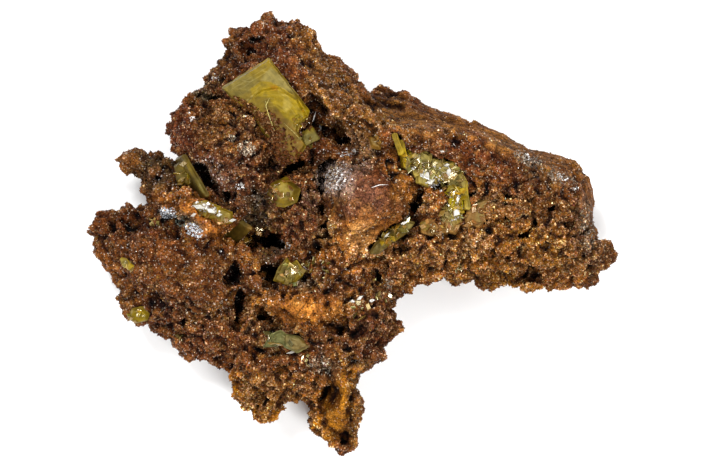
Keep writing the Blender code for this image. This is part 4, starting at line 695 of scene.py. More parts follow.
# painted shade: the skin between the crumbs is darker than on the bare smooth places
ROUGH_SHADE = 0.78       # the skin between the crumbs, against the bare smooth places
SPECKLES, MOTTLES, STAINS = 0.7, 1.7, 1.5          # sizes of its light and dark spots
MOTTLING, STAINING = 0.6, 0.65                     # and how strong they are
# Which stains are which: colour, then the random tones where it starts and is full.
STAIN_TONES = (("dark_brown", 0.3, 0.0), ("tan", 0.75, 1.0))

# Painted shade in hollows and painted highlights on crests: rounds of smoothing, reach, how much
# hollows darken and crests lighten.
HOLLOW_SHADE_AND_CREST_LIGHT = ((6, 0.12, 0.45, 0.3), (20, 0.3, 0.5, 0.25), (60, 0.7, 0.45, 0.2))


def tint_at(points):
    """The gossan's colour from patch to patch, before grain, stains, the painted shade of hollows,
    the painted highlights of crests, and sheen.
    """
    bends = [layered_noise(points, TINT_BEND, 101 + 5 * i, 3) for i in range(2)]
    warp = np.stack(bends, axis=1) * TINT_SHIFT
    ragged = layered_noise(points, TINT_FRAY, 121, 3)
    colour = np.tile(COLOURS["brown"], (len(points), 1))
    drift = np.clip(0.5 + 0.9 * layered_noise(points, BASE_DRIFT, 131, 3), 0, 1)[:, None]
    colour = colour * (1 - drift) + COLOURS["rust"] * drift * 0.9 + colour * drift * 0.1
    for name, strength, place in TINTS:
        weight = patch(points, place, warp)
        weight = np.clip(weight * strength + 0.6 * ragged * weight * (1.2 - weight), 0, 1)
        colour += (COLOURS[name] - colour) * weight[:, None]
    return colour


def hollow_share(skin, rounds, reach):
    """How deep each point lies below its surroundings, from -1 on a crest to 1 in a hollow."""
    gap = ((smoothed_points(skin, rounds) - get_points(skin)) * get_normals(skin)).sum(axis=1)
    return np.clip(gap / reach, -1.0, 1.0)


def colour_gossan(skin):
    """Patch colours with painted shade in hollows, near black in the deepest, and painted
    highlights on crests; with specks and with dark brown and tan stains.
    """
    points = get_points(skin)
    tint = tint_at(points)
    shade = np.full(len(points), SKIN_SHADE)
    for rounds, reach, dark, light in HOLLOW_SHADE_AND_CREST_LIGHT:
        hollow = hollow_share(skin, rounds, reach)
        shade *= 1 - dark * np.clip(hollow, 0, 1) + light * np.clip(-hollow, 0, 1)
    _, _, tone, _ = facets(points, SPECKLES, 141)
    shade *= 0.75 + 0.5 * tone
    shade *= np.exp(MOTTLING * layered_noise(points, MOTTLES, 151, 3))
    bent = points + 0.5 * np.stack([soft_noise(points, 0.8, 161 + i) for i in range(3)], axis=1)
    _, _, tone, _ = facets(bent, STAINS, 171)
    for other, low, high in STAIN_TONES:
        weight = STAINING * np.clip((tone - low) / (high - low), 0, 1)[:, None]
        tint = tint + (COLOURS[other] - tint) * weight
    smooth = zone_weights(points)["smooth"]
    shade *= ROUGH_SHADE + (1 - ROUGH_SHADE) * smooth
    # painted shade: the deepest hollows are painted towards near black
    deep = np.clip(hollow * 1.5 - 0.5, 0, 1)[:, None]
    tint = (tint * (1 - deep) + COLOURS["shade_black"] * 0.3 * deep) * shade[:, None] ** REDDEN
    paint(skin, np.clip(tint * DEPTH_OF_TONE, DARKEST, 0.9), smooth)


# ---------------------------------------------------------------- materials
class Surface:
    """A principled material, built node by node on the piece's place and its painted numbers."""

    def __init__(self, name):
        self.material = bpy.data.materials.new(name)
        self.material.use_nodes = True
        self.nodes, self.links = self.material.node_tree.nodes, self.material.node_tree.links
        self.shader = self.nodes["Principled BSDF"]

    def set(self, **values):
        """Plain numbers and colours on the shader's own sockets; _ stands for a space."""
        for key, value in values.items():
            self.shader.inputs[key.replace("_", " ")].default_value = value

    def add(self, kind, **settings):
        node = self.nodes.new(kind)
        for key, value in settings.items():
            if hasattr(node, key):
                setattr(node, key, value)
            else:
                node.inputs[key.replace("_", " ")].default_value = value
        return node

    def read_piece(self):
        """The place on the piece, and its painted colour and number."""
        place = self.add("ShaderNodeTexCoord").outputs["Object"]
        paint = self.add("ShaderNodeAttribute", attribute_name=TINT)
        return place, paint.outputs["Color"], paint.outputs["Alpha"]

    def noise(self, place, scale, detail):
        node = self.add("ShaderNodeTexNoise", Scale=scale, Detail=detail)
        self.links.new(place, node.inputs["Vector"])
        return node

    def scaled_by(self, source, low, high, start=0.3, end=0.7):
        """A factor that runs from low to high while the source runs from start to end."""
        node = self.add("ShaderNodeMapRange", From_Min=start, From_Max=end, To_Min=low,
                        To_Max=high)
        self.links.new(source, node.inputs["Value"])
        return node.outputs["Result"]

    def multiplied(self, first, second):
        node = self.add("ShaderNodeMath", operation="MULTIPLY")
        self.links.new(first, node.inputs[0])
        self.links.new(second, node.inputs[1])
        return node.outputs["Value"]

    def colour_by(self, colour, tone):
        node = self.add("ShaderNodeVectorMath", operation="SCALE")
        self.links.new(colour, node.inputs[0])
        self.links.new(tone, node.inputs["Scale"])
        self.links.new(node.outputs["Vector"], self.shader.inputs["Base Color"])

    def bump_by(self, height, strength, depth):
        node = self.add("ShaderNodeBump", Strength=strength, Distance=depth * MM)
        self.links.new(height, node.inputs["Height"])
        self.links.new(node.outputs["Normal"], self.shader.inputs["Normal"])


def gossan_material():
    """Earthy limonite: patch colours broken up by sub-millimetre specks, with a rough skin.
    On the smooth places it is crazed by fine cracks."""
    made = Surface("limonite_gossan")
    place, colour, smooth = made.read_piece()
    specks = made.noise(place, 4200.0, 3.0)
    swirl = made.add("ShaderNodeVectorMath", operation="MULTIPLY_ADD")
    swirl.inputs[1].default_value = (0.8 * MM,) * 3
    made.links.new(specks.outputs["Color"], swirl.inputs[0])
    made.links.new(place, swirl.inputs[2])
    crazing = made.add("ShaderNodeTexVoronoi", feature="DISTANCE_TO_EDGE", Scale=620.0)
    made.links.new(swirl.outputs["Vector"], crazing.inputs["Vector"])
    crack = made.scaled_by(crazing.outputs["Distance"], 1.0, 0.0, 0.01, 0.07)
    crack = made.multiplied(crack, smooth)
    tone = made.multiplied(made.scaled_by(specks.outputs["Fac"], 0.25, 1.85),
                           made.scaled_by(crack, 1.0, 0.35, 0.0, 1.0))
    made.colour_by(colour, tone)
    made.bump_by(made.noise(place, 5200.0, 2.0).outputs["Fac"], 0.6, 0.12)
    made.links.new(made.scaled_by(specks.outputs["Fac"], 0.85, 0.45, 0.0, 1.0),
                   made.shader.inputs["Roughness"])
    made.set(Specular_IOR_Level=0.04)
    return made.material


def crumb_material(name, roughest, smoothest, shine):
    """Crystal faces and crumbs, each with its own tone and polish."""
    made = Surface(name)
    place, colour, polish = made.read_piece()
    specks = made.noise(place, 4200.0, 2.0)
    made.colour_by(colour, made.scaled_by(specks.outputs["Fac"], 0.6, 1.45))
    made.links.new(made.scaled_by(polish, roughest, smoothest, 0.0, 1.0),
                   made.shader.inputs["Roughness"])
    made.set(Specular_IOR_Level=shine)
    return made.material


def show(piece, material):
    """Give a piece its material and its body."""
    piece.data.materials.clear()
    piece.data.materials.append(material)
    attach(piece, ROOT)


# ---------------------------------------------------------------- wulfenite
CRYSTAL_GROWTH = 0.14    # the drawn crystals reach this much into the gap round the solid ones
CHAMFER = 0.09
PLATE_GRAIN = 0.24       # longest edge on the main plates once their faces are split up
CRYSTAL_GRAIN = 0.4      # and on the other crystals
STEP_WIDTH, STEP_RISE = 0.55, 0.025      # growth steps, inwards from the rims
TERRACE_RISE, CHIP_DEPTH = 0.03, 0.09
CRYSTAL_DEPTH = np.array([0.74, 0.66, 0.5])    # how dark the crystals' colours are once lit
YELLOW, OLIVE, PALE, TAN_YELLOW, GREY_OLIVE, GREEN_GREY, BROWN_OLIVE = (
    srgb(182, 158, 6), srgb(146, 124, 30), srgb(178, 168, 106), srgb(142, 106, 42),
    srgb(138, 128, 66), srgb(112, 118, 78), srgb(94, 76, 26))
TAN = srgb(172, 128, 74)
SPRAY = srgb(174, 158, 78)
STRAW, AMBER = srgb(214, 196, 96), srgb(206, 148, 26)
# Painted glint: near white, for faces that show the key light's reflection.
GLINT_WHITE = srgb(235, 232, 222)

# The real mineral's refraction, the share of light that passes, and what depth does to it.
WULFENITE_IOR, CLEAR_SHARE = 2.28, 0.5
ABSORPTION, ABSORPTION_TINT = 1500.0, (0.9, 0.7, 0.1)

# The colour of each crystal, and ovals of other colours on it.
CRYSTALS = {
    "wulfenite_main_plates": (OLIVE, []),
    "wulfenite_corner_plate": (GREY_OLIVE * 0.85, [(YELLOW, 0.5, (-6.2, 16.0, 1.2, 0.5, 30))]),
    "wulfenite_mid_crystal": (OLIVE, [
        (YELLOW, 0.4, (-9.6, 7.4, 1.4, 0.9, 30)), (BROWN_OLIVE, 0.8, (-11.8, 6.0, 1.2, 1.6, 0)),
        (BROWN_OLIVE, 0.6, (-8.2, 7.6, 0.8, 1.4, 0))]),
    "wulfenite_tan_plate": (TAN_YELLOW, []),
    "wulfenite_spray_thin_blades": (OLIVE * 1.2, [(YELLOW * 1.2, 0.9, (8.0, 11.8, 1.0, 1.6, 0))]),
    "wulfenite_spray_mass": (SPRAY, [
        (YELLOW, 0.8, (9.2, 11.6, 1.2, 1.2, 0)), (PALE, 0.5, (11.2, 11.2, 1.4, 1.4, 0)),
        (PALE, 0.75, (15.4, 8.1, 1.3, 1.3, 0)), (YELLOW, 0.8, (16.9, 6.0, 0.6, 2.4, -15)),
        (PALE, 0.6, (15.2, 5.8, 0.8, 1.6, 0)), (TAN, 0.9, (15.0, 0.8, 2.2, 1.4, 0)),
        # painted shade: the near-black oval at (18.6, 5.4) darkens the spray over a shaded hollow
        (BROWN_OLIVE * 0.5, 0.95, (18.6, 5.4, 1.2, 1.4, 0))]),
    "wulfenite_right_plate": (TAN, [
        # painted shade: the near-black oval at (18.3, 5.5) darkens the plate over the same shaded
        # hollow
        (BROWN_OLIVE * 0.35, 0.95, (18.3, 5.5, 1.8, 1.3, 30)),
        (PALE, 0.5, (19.6, 3.4, 0.6, 1.4, -20))]),
    "wulfenite_ledge_blades": (BROWN_OLIVE, [
        (PALE, 0.7, (8.8, 1.4, 1.2, 0.4, 15)), (OLIVE, 0.7, (6.2, -0.4, 1.4, 0.7, 45))]),
    "wulfenite_ledge_corner_blade": (TAN, [(OLIVE, 0.8, (11.0, 1.6, 1.0, 0.6, -45))]),
    "wulfenite_left_blades": (BROWN_OLIVE, [
        (OLIVE, 0.8, (-24.8, 9.6, 1.0, 1.4, 0)), (GREY_OLIVE, 0.7, (-22.6, 7.4, 1.4, 0.6, -60))]),
    "wulfenite_glint_plates": (OLIVE, [
        # painted glint: a near-white streak across the plates
        (GLINT_WHITE, 0.5, (-21.6, 4.2, 1.6, 0.5, -20)),
        (TAN_YELLOW, 0.7, (-19.2, 2.6, 1.3, 0.6, -10))]),
    "wulfenite_curved_blade": (BROWN_OLIVE, [(TAN_YELLOW, 0.7, (-14.6, 1.2, 0.8, 0.6, -40))]),
    "wulfenite_centre_blades": (OLIVE, [
        (PALE, 0.7, (-9.6, -5.2, 0.5, 1.6, 30)), (BROWN_OLIVE, 0.8, (-10.8, -5.0, 0.9, 1.8, 0))]),
    "wulfenite_lower_crystal": (GREEN_GREY, [
        (TAN_YELLOW * 0.6, 0.85, (-7.8, -16.0, 1.8, 1.0, -20))]),
    "wulfenite_left_edge_crystal": (OLIVE, [(YELLOW, 0.8, (-31.8, -11.8, 1.2, 0.8, 0))]),
    "wulfenite_left_sliver": (YELLOW, [(PALE, 0.6, (-34.0, -3.8, 0.5, 0.5, 0))])}

# Zones of the main plates: colour, strength, softness of the edge, then the outline.
PLATE_ZONES = [
    (GREY_OLIVE, 0.7, 0.7, [(-19.5, 22.3), (-15.8, 24.6), (-13.6, 23.4), (-15.0, 21.4),
                            (-17.6, 20.2)]),
    (YELLOW, 0.45, 0.5, [(-15.4, 24.0), (-12.2, 26.6), (-11.4, 25.0), (-13.6, 23.4)]),
    (PALE, 0.8, 0.35, [(-13.4, 23.2), (-11.8, 25.2), (-9.0, 22.6), (-8.0, 21.2), (-10.2, 21.8),
                       (-12.0, 22.6)]),
    (YELLOW, 1.0, 0.25, [(-15.0, 21.9), (-13.4, 22.9), (-11.8, 22.9), (-10.2, 22.0), (-8.6, 20.9),
                         (-7.2, 19.8), (-6.2, 18.8), (-6.6, 17.8), (-8.2, 16.8), (-9.6, 17.6),
                         (-10.8, 19.0), (-12.2, 20.6), (-14.6, 20.8)]),
    (STRAW, 0.8, 0.3, [(-9.9, 20.4), (-9.1, 20.6), (-8.6, 19.3), (-9.4, 18.4), (-10.0, 19.0)]),
    (AMBER, 0.7, 0.4, [(-12.0, 22.4), (-11.0, 22.4), (-10.8, 21.6), (-11.8, 21.7)]),
    (TAN_YELLOW, 0.75, 0.5, [(-12.6, 19.4), (-10.6, 18.6), (-9.0, 16.6), (-7.0, 14.0),
                             (-6.9, 12.8), (-8.6, 10.9), (-11.2, 13.2), (-13.6, 16.6)]),
    (BROWN_OLIVE, 0.6, 0.6, [(-14.6, 18.6), (-12.8, 17.4), (-11.2, 14.8), (-9.0, 11.6),
                             (-10.6, 11.8), (-13.8, 15.6)])]


def is_inside(plan, outline):
    """Whether each point lies within the outline, by counting crossings."""
    inside = np.zeros(len(plan), bool)
    x, y = plan[:, 0], plan[:, 1]
    for (ax, ay), (bx, by) in zip(outline, outline[1:] + outline[:1]):
        if ay != by:
            inside ^= ((ay > y) != (by > y)) & (x < (bx - ax) * (y - ay) / (by - ay) + ax)
    return inside


def zone_share(plan, outline, softness):
    """Weight from 0 to 1 of an outlined zone with a soft edge."""
    away = distance_to_path(plan, outline + outline[:1])
    away = np.where(is_inside(plan, outline), away, -away)
    return np.clip(0.5 + away / softness, 0.0, 1.0)


def halved(triangles, middles):
    """Split triangles at the middles of their long edges, where -1 stands for a short edge."""
    made = [triangles[(middles < 0).all(axis=1)]]
    for turn in range(3):
        corners, splits = np.roll(triangles, -turn, axis=1), np.roll(middles, -turn, axis=1)
        is_long = splits >= 0
        one = is_long[:, 0] & ~is_long[:, 1] & ~is_long[:, 2]
        (a, b, c), p = corners[one].T, splits[one, 0]
        made += [np.stack(rows, axis=1) for rows in ((a, p, c), (p, b, c))]
        two = is_long[:, 0] & is_long[:, 1] & ~is_long[:, 2]
        (a, b, c), (p, q, _) = corners[two].T, splits[two].T
        made += [np.stack(rows, axis=1) for rows in ((p, b, q), (a, p, q), (a, q, c))]
    three = (middles >= 0).all(axis=1)
    (a, b, c), (p, q, r) = triangles[three].T, middles[three].T
    made += [np.stack(rows, axis=1) for rows in ((a, p, r), (p, b, q), (r, q, c), (p, q, r))]
    return np.concatenate(made)


def split_long_edges(points, triangles, longest):
    """Halve edges until none is longer, so that the faces can carry relief and colour."""
    while True:
        pairs = np.sort(triangles[:, [[0, 1], [1, 2], [2, 0]]].reshape(-1, 2), axis=1)
        edges, places = np.unique(pairs, axis=0, return_inverse=True)
        is_long = np.linalg.norm(points[edges[:, 0]] - points[edges[:, 1]], axis=1) > longest
        if not is_long.any():
            return points, triangles
        middles = np.full(len(edges), -1)
        middles[is_long] = len(points) + np.arange(is_long.sum())
        points = np.concatenate([points, points[edges[is_long]].mean(axis=1)])
        triangles = halved(triangles, middles[places.reshape(-1, 3)])


def distance_to_edges(points, edges):
    """Distance from each point to the nearest of some straight edges."""
    nearest = np.full(len(points), np.inf)
    for a, b in edges:
        along = b - a
        share = np.clip((points - a) @ along / (along @ along), 0.0, 1.0)
        gap = points - a - share[:, None] * along
        nearest = np.minimum(nearest, np.sqrt((gap ** 2).sum(axis=1)))
    return nearest


def grow_crystal(node, grain):
    """The solid's own plates, chamfered, with low growth steps and chipped rims."""
    form = bmesh.new()
    form.from_mesh(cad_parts[node].data)
    bmesh.ops.remove_doubles(form, verts=form.verts, dist=0.002 * MM)
    bmesh.ops.dissolve_limit(form, angle_limit=math.radians(2), verts=form.verts,
                             edges=form.edges)
    form.normal_update()
    sharp = [e for e in form.edges if len(e.link_faces) == 2 and e.calc_face_angle() > 0.4]
    edges = [tuple(np.array(v.co) / MM for v in e.verts) for e in sharp]
    bmesh.ops.bevel(form, geom=sharp, offset=CHAMFER * MM, segments=1, affect="EDGES",
                    clamp_overlap=True)
    bmesh.ops.triangulate(form, faces=form.faces)
    points = np.array([v.co for v in form.verts]) / MM
    triangles = np.array([[v.index for v in f.verts] for f in form.faces])
    form.free()
    points, triangles = split_long_edges(points, triangles, grain)
    crystal = make_mesh(node.replace("wulfenite_", "crystal_"), points, triangles)
    normals = get_normals(crystal)
    inward = distance_to_edges(points, edges)
    facing = np.clip(normals[:, 2] * 2 - 0.6, 0.0, 1.0)
    wander = inward + 0.2 * soft_noise(points, 2.2, 205)
    steps = np.floor(wander / STEP_WIDTH) * STEP_RISE
    terraces = np.floor(2.5 * layered_noise(points * (1, 1, 0.3), 2.8, 201, 2)) * TERRACE_RISE
    chips = soft_noise(points, 0.6, 211) * np.clip(1.3 - inward / 0.5, 0.15, 1.0)
    shift = CRYSTAL_GROWTH + (np.clip(steps, 0, 0.3) - 0.15 + terraces) * facing
    shift += CHIP_DEPTH * chips
    set_points(crystal, points + normals * shift[:, None])
    crystal.data.shade_flat()
    return crystal, inward


def colour_crystal(crystal, inward, base, ovals, zones=()):
    """The crystal's colour with its ovals and zones; the number beside it is the way inwards."""
    points = get_points(crystal)
    warp = np.stack([soft_noise(points, 1.4, 221 + i) for i in range(2)], axis=1) * 0.4
    colour = np.tile(base, (len(points), 1))
    for other, strength, place in ovals:
        weight = (patch(points, place, warp) * strength)[:, None]
        colour += (other - colour) * weight
    plan = points[:, :2] - DRAWN_SHIFT + 0.35 * warp
    for other, strength, softness, outline in zones:
        colour += (other - colour) * (zone_share(plan, outline, softness) * strength)[:, None]
    streaks = layered_noise(points * (1.0, 1.0, 2.0), 0.8, 231, 2)
    colour *= (1 + 0.16 * streaks)[:, None]
    paint(crystal, np.clip(colour * CRYSTAL_DEPTH, 0.003, 0.95), inward)


def wulfenite_material(name, roughness, shine, sheen_tint):
    """See-through yellow lead molybdate: veils, growth bands and painted highlights on the rims,
    deeper with depth.
    """
    made = Surface(name)
    place, colour, inward = made.read_piece()
    veils = made.noise(place, 1100.0, 5.0)
    growth = made.add("ShaderNodeCombineXYZ")
    made.links.new(inward, growth.inputs["X"])
    bands = made.noise(growth.outputs["Vector"], 5.0, 3.0)
    tone = made.multiplied(made.scaled_by(veils.outputs["Fac"], 0.62, 1.3),
                           made.scaled_by(bands.outputs["Fac"], 0.82, 1.18))
    # painted highlight: the colour is lighter within 0.22 mm of the rims
    tone = made.multiplied(tone, made.scaled_by(inward, 1.45, 1.0, 0.0, 0.22))
    made.colour_by(colour, tone)
    made.bump_by(made.noise(place, 3200.0, 2.0).outputs["Fac"], 0.5, 0.05)
    made.set(Roughness=roughness, IOR=WULFENITE_IOR, Transmission_Weight=CLEAR_SHARE,
             Specular_IOR_Level=shine, Specular_Tint=(*sheen_tint, 1.0))
    depth = made.add("ShaderNodeVolumeAbsorption", Density=ABSORPTION)
    depth.inputs["Color"].default_value = (*ABSORPTION_TINT, 1.0)
    made.links.new(depth.outputs["Volume"], made.nodes["Material Output"].inputs["Volume"])
    return made.material


def make_crystals():
    """The sixteen pieces that stand for the solid crystals."""
    clear = wulfenite_material("wulfenite", *CRYSTAL_FINISH)
    made = []
    for node, (base, ovals) in CRYSTALS.items():
        is_main = node == "wulfenite_main_plates"
        crystal, inward = grow_crystal(node, PLATE_GRAIN if is_main else CRYSTAL_GRAIN)
        colour_crystal(crystal, inward, base, ovals, PLATE_ZONES if is_main else ())
        show(crystal, clear)
        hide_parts(node)
        made.append(crystal)
    return made


# ---------------------------------------------------------------- small plates and flakes
# A tablet's three rings of four corners: height and width of each ring, then its corners.
FLAKE_RINGS = ((1, 0.8), (0, 1.0), (-1, 0.8))
FLAKE_CORNERS = ((1, 0.15), (0.1, 1), (-1, -0.1), (-0.15, -1))
FLAKE_POINTS = len(FLAKE_RINGS) * len(FLAKE_CORNERS)
# Flakes paint 0 on their rims, which so get the material's painted rim highlight.
RIM_TO_MIDDLE = 0.3      # painted beside a flake's colour on its flat faces, as inward does


def make_flakes(name, places, normals, turns, sizes, tints):
    """Thin four-sided tablets with slanted rims, joined in one mesh."""
    count = len(places)
    normals = normals / np.linalg.norm(normals, axis=1, keepdims=True)
    guide = np.stack([np.cos(turns), np.sin(turns), np.zeros(count)], axis=1)
    side = guide - normals * (guide * normals).sum(axis=1, keepdims=True)
    side /= np.linalg.norm(side, axis=1, keepdims=True)
    other = np.cross(normals, side)
    rings = []
    for level, share in FLAKE_RINGS:
        for a, b in FLAKE_CORNERS:
            rings.append(places + side * (a * share * sizes[:, 0:1])
                         + other * (b * share * sizes[:, 1:2]) + normals * level * sizes[:, 2:3])
    points = np.stack(rings, axis=1)
    faces = [(0, 1, 2), (0, 2, 3), (10, 9, 8), (11, 10, 8)]
    for ring in (0, 4):
        for i in range(4):
            a, b = ring + i, ring + (i + 1) % 4
            faces += [(a, a + 4, b + 4), (a, b + 4, b)]
    faces = np.array(faces)[None] + FLAKE_POINTS * np.arange(count)[:, None, None]
    flakes = make_mesh(name, points.reshape(-1, 3), faces.reshape(-1, 3))
    flakes.data.shade_flat()
    paint(flakes, np.repeat(np.clip(tints, 0.003, 0.95), FLAKE_POINTS, axis=0),
          np.tile([RIM_TO_MIDDLE] * 4 + [0.0] * 4 + [RIM_TO_MIDDLE] * 4, count))
    return flakes


class Face:
    """The height and slope of the finished surface below any place on the display face."""

    HIGH_M = 0.1         # where a look down on the face starts

    def __init__(self, pieces):
        form = bmesh.new()
        for piece in pieces:
            form.from_mesh(piece.data)
        self.tree = BVHTree.FromBMesh(form)
        form.free()

    def meet(self, x, y):
        start = Vector(((x + DRAWN_SHIFT[0]) * MM, (y + DRAWN_SHIFT[1]) * MM, self.HIGH_M))
        hit, normal, *_ = self.tree.ray_cast(start, Vector((0, 0, -1)))
        if hit is None:
            return None, None
        return np.array(hit) / MM, np.array(normal)


def strew(face, oval, count, rng):
    """Random places in an oval on the display face, with the skin's normals there."""
    x, y, length, breadth, turn = oval
    c, s = math.cos(math.radians(turn)), math.sin(math.radians(turn))
    places, normals = [], []
    for _ in range(count):
        reach, angle = math.sqrt(rng.random()), rng.uniform(0, 2 * math.pi)
        a, b = reach * math.cos(angle) * length, reach * math.sin(angle) * breadth
        place, normal = face.meet(x + a * c - b * s, y + a * s + b * c)
        if place is not None:
            places.append(place)
            normals.append(normal)
    return np.array(places), np.array(normals)


# Small blades grown round the larger plates: oval, count, size, colour.
BLADE_BEDS = [
    ((10.4, 11.0, 2.6, 1.8, -20), 36, 1.0, PALE), ((13.2, 9.6, 2.2, 1.6, -30), 24, 1.0, PALE),
    ((15.2, 8.6, 1.5, 2.0, 0), 26, 0.9, PALE), ((15.8, 5.8, 1.2, 2.4, 0), 30, 0.9, YELLOW),
    ((15.0, 3.2, 1.4, 1.8, 0), 26, 0.8, PALE), ((14.4, 1.2, 1.4, 1.4, 0), 18, 0.8, TAN),
    ((8.6, 12.2, 1.0, 1.4, 0), 14, 0.7, YELLOW), ((18.4, 3.0, 1.8, 1.4, 20), 12, 0.8, TAN),
    ((6.4, 0.6, 2.8, 0.9, 40), 24, 0.8, OLIVE), ((12.2, 1.2, 1.6, 0.8, -30), 12, 0.7, TAN),
    ((-8.9, -5.6, 1.8, 1.7, 0), 26, 0.9, PALE), ((-5.0, -4.6, 2.6, 1.2, 0), 14, 0.6, GREY_OLIVE),
    ((-7.6, 17.4, 1.0, 2.2, 20), 12, 0.45, YELLOW),
    ((-6.4, 14.4, 1.2, 1.0, 0), 4, 0.5, GREY_OLIVE),
    ((-10.2, 6.6, 1.8, 1.6, 0), 12, 0.6, TAN_YELLOW), ((-24.8, 9.4, 1.4, 1.6, 0), 10, 0.8, OLIVE),
    ((-20.6, 3.4, 2.6, 1.2, -15), 8, 0.7, TAN_YELLOW),
    ((-10.8, -15.6, 2.2, 1.2, -20), 10, 0.7, GREEN_GREY),
    ((-31.9, -12.0, 1.4, 1.0, 0), 8, 0.6, YELLOW),
    ((-33.4, -4.2, 1.0, 0.6, -40), 5, 0.6, PALE), ((-14.2, 0.6, 2.0, 1.0, 40), 8, 0.9, TAN_YELLOW),
    ((3.8, 14.2, 0.9, 0.8, 0), 5, 0.6, TAN_YELLOW), ((1.2, -10.8, 1.2, 1.6, 60), 6, 0.8, PALE),
    ((4.6, -9.0, 1.4, 0.6, 0), 6, 0.6, PALE), ((-25.4, -15.2, 0.8, 0.6, 0), 5, 0.5, GREEN_GREY),
    ((16.2, -4.4, 0.9, 0.7, 0), 5, 0.5, PALE), ((-6.6, -18.4, 1.0, 0.8, 0), 4, 0.5, PALE),
    ((-29.4, 2.4, 1.4, 0.8, 40), 6, 0.7, PALE)]

# Half length and half breadth of a blade of size 1, and half its thickness.
BLADE_LENGTH, BLADE_BREADTH, BLADE_THICKNESS = (0.5, 1.1), (0.3, 0.8), (0.05, 0.10)
BLADE_LIFT, BLADE_LEAN = 0.25, 0.65      # height over the skin, and how unruly they stand
BLADE_TONE, BLADE_HUE = (0.15, 0.3), (0, 0.08)
BLADE_STAIN = 0.8        # how brown the most stained ones are
ANY_TURN = (0, 6.3)      # in radians

# Faces that catch the key light, painted near white as glints: x, y, half length, half breadth,
# turn in degrees.
GLINTS = [
    (11.0, 9.2, 1.2, 0.7, -55), (11.9, 8.2, 0.7, 0.5, 10), (9.4, 10.2, 0.4, 0.4, 0),
    (14.6, 9.6, 0.4, 1.0, 10), (14.3, 10.6, 0.5, 0.3, 0), (15.8, 3.7, 0.9, 0.6, 60),
    (16.0, 5.6, 0.3, 0.7, 0), (13.6, 12.6, 0.4, 0.2, -20), (-22.6, 4.4, 1.1, 0.4, -20),
    (-20.8, 3.8, 0.9, 0.4, -35), (-19.6, 3.2, 0.5, 0.3, 0), (-17.6, 2.4, 0.6, 0.3, 0),
    (-23.4, 3.2, 0.5, 0.3, 20), (-8.6, -17.2, 1.1, 0.25, 12), (0.2, -9.8, 0.5, 0.4, 0),
    (3.2, -9.6, 0.5, 0.3, 0), (1.4, -9.2, 0.6, 0.3, 30), (-4.6, 16.2, 0.25, 0.8, 10),
    (5.4, 0.2, 0.6, 0.2, 40), (8.0, 2.0, 0.6, 0.25, 10)]
GLINT_LEAN = np.array([-0.19, 0.32, 0.93])    # half way between the key light and the camera
GLINT_LIFT, GLINT_THICKNESS = 0.55, 0.06
GLINT_WOBBLE = 0.03      # how far each one's lean strays


def join_columns(parts):
    """Rows of arrays, one row per oval, joined into one array per column."""
    return [np.concatenate(column) for column in zip(*parts)]


def make_blade_beds(face, rng):
    """Small tabular crystals that stand at all angles round the larger ones."""
    parts = []
    for oval, count, size, colour in BLADE_BEDS:
        places, normals = strew(face, oval, count, rng)
        amount = len(places)
        up = normals * 0.5 + np.array([0, 0, 0.3]) + rng.normal(0, BLADE_LEAN, (amount, 3))
        sizes = np.stack([rng.uniform(*BLADE_LENGTH, amount) * size,
                          rng.uniform(*BLADE_BREADTH, amount) * size,
                          rng.uniform(*BLADE_THICKNESS, amount)], axis=1)
        stained = rng.random((amount, 1)) ** 2 * BLADE_STAIN
        tints = (colour * (1 - stained) + TAN_YELLOW * stained) * CRYSTAL_DEPTH
        tints = tints * np.exp(rng.normal(*BLADE_TONE, (amount, 1))
                               + rng.normal(*BLADE_HUE, (amount, 3)))
        turns = rng.uniform(*ANY_TURN, amount)
        parts.append((places + normals * BLADE_LIFT, up, turns, sizes, tints))
    return make_flakes("wulfenite_small_blades", *join_columns(parts))


def make_glints(face, rng):
    """Small tablets painted near white as glints, all leaning so that they throw the key light at
    the camera.
    """
    rows = []
    for x, y, length, breadth, turn in GLINTS:
        place, _ = face.meet(x, y)
        rows.append((place + (0, 0, GLINT_LIFT), GLINT_LEAN + rng.normal(0, GLINT_WOBBLE, 3),
                     math.radians(turn), (length, breadth, GLINT_THICKNESS), GLINT_WHITE))
    return make_flakes("glint_flakes", *[np.array(column) for column in zip(*rows)])


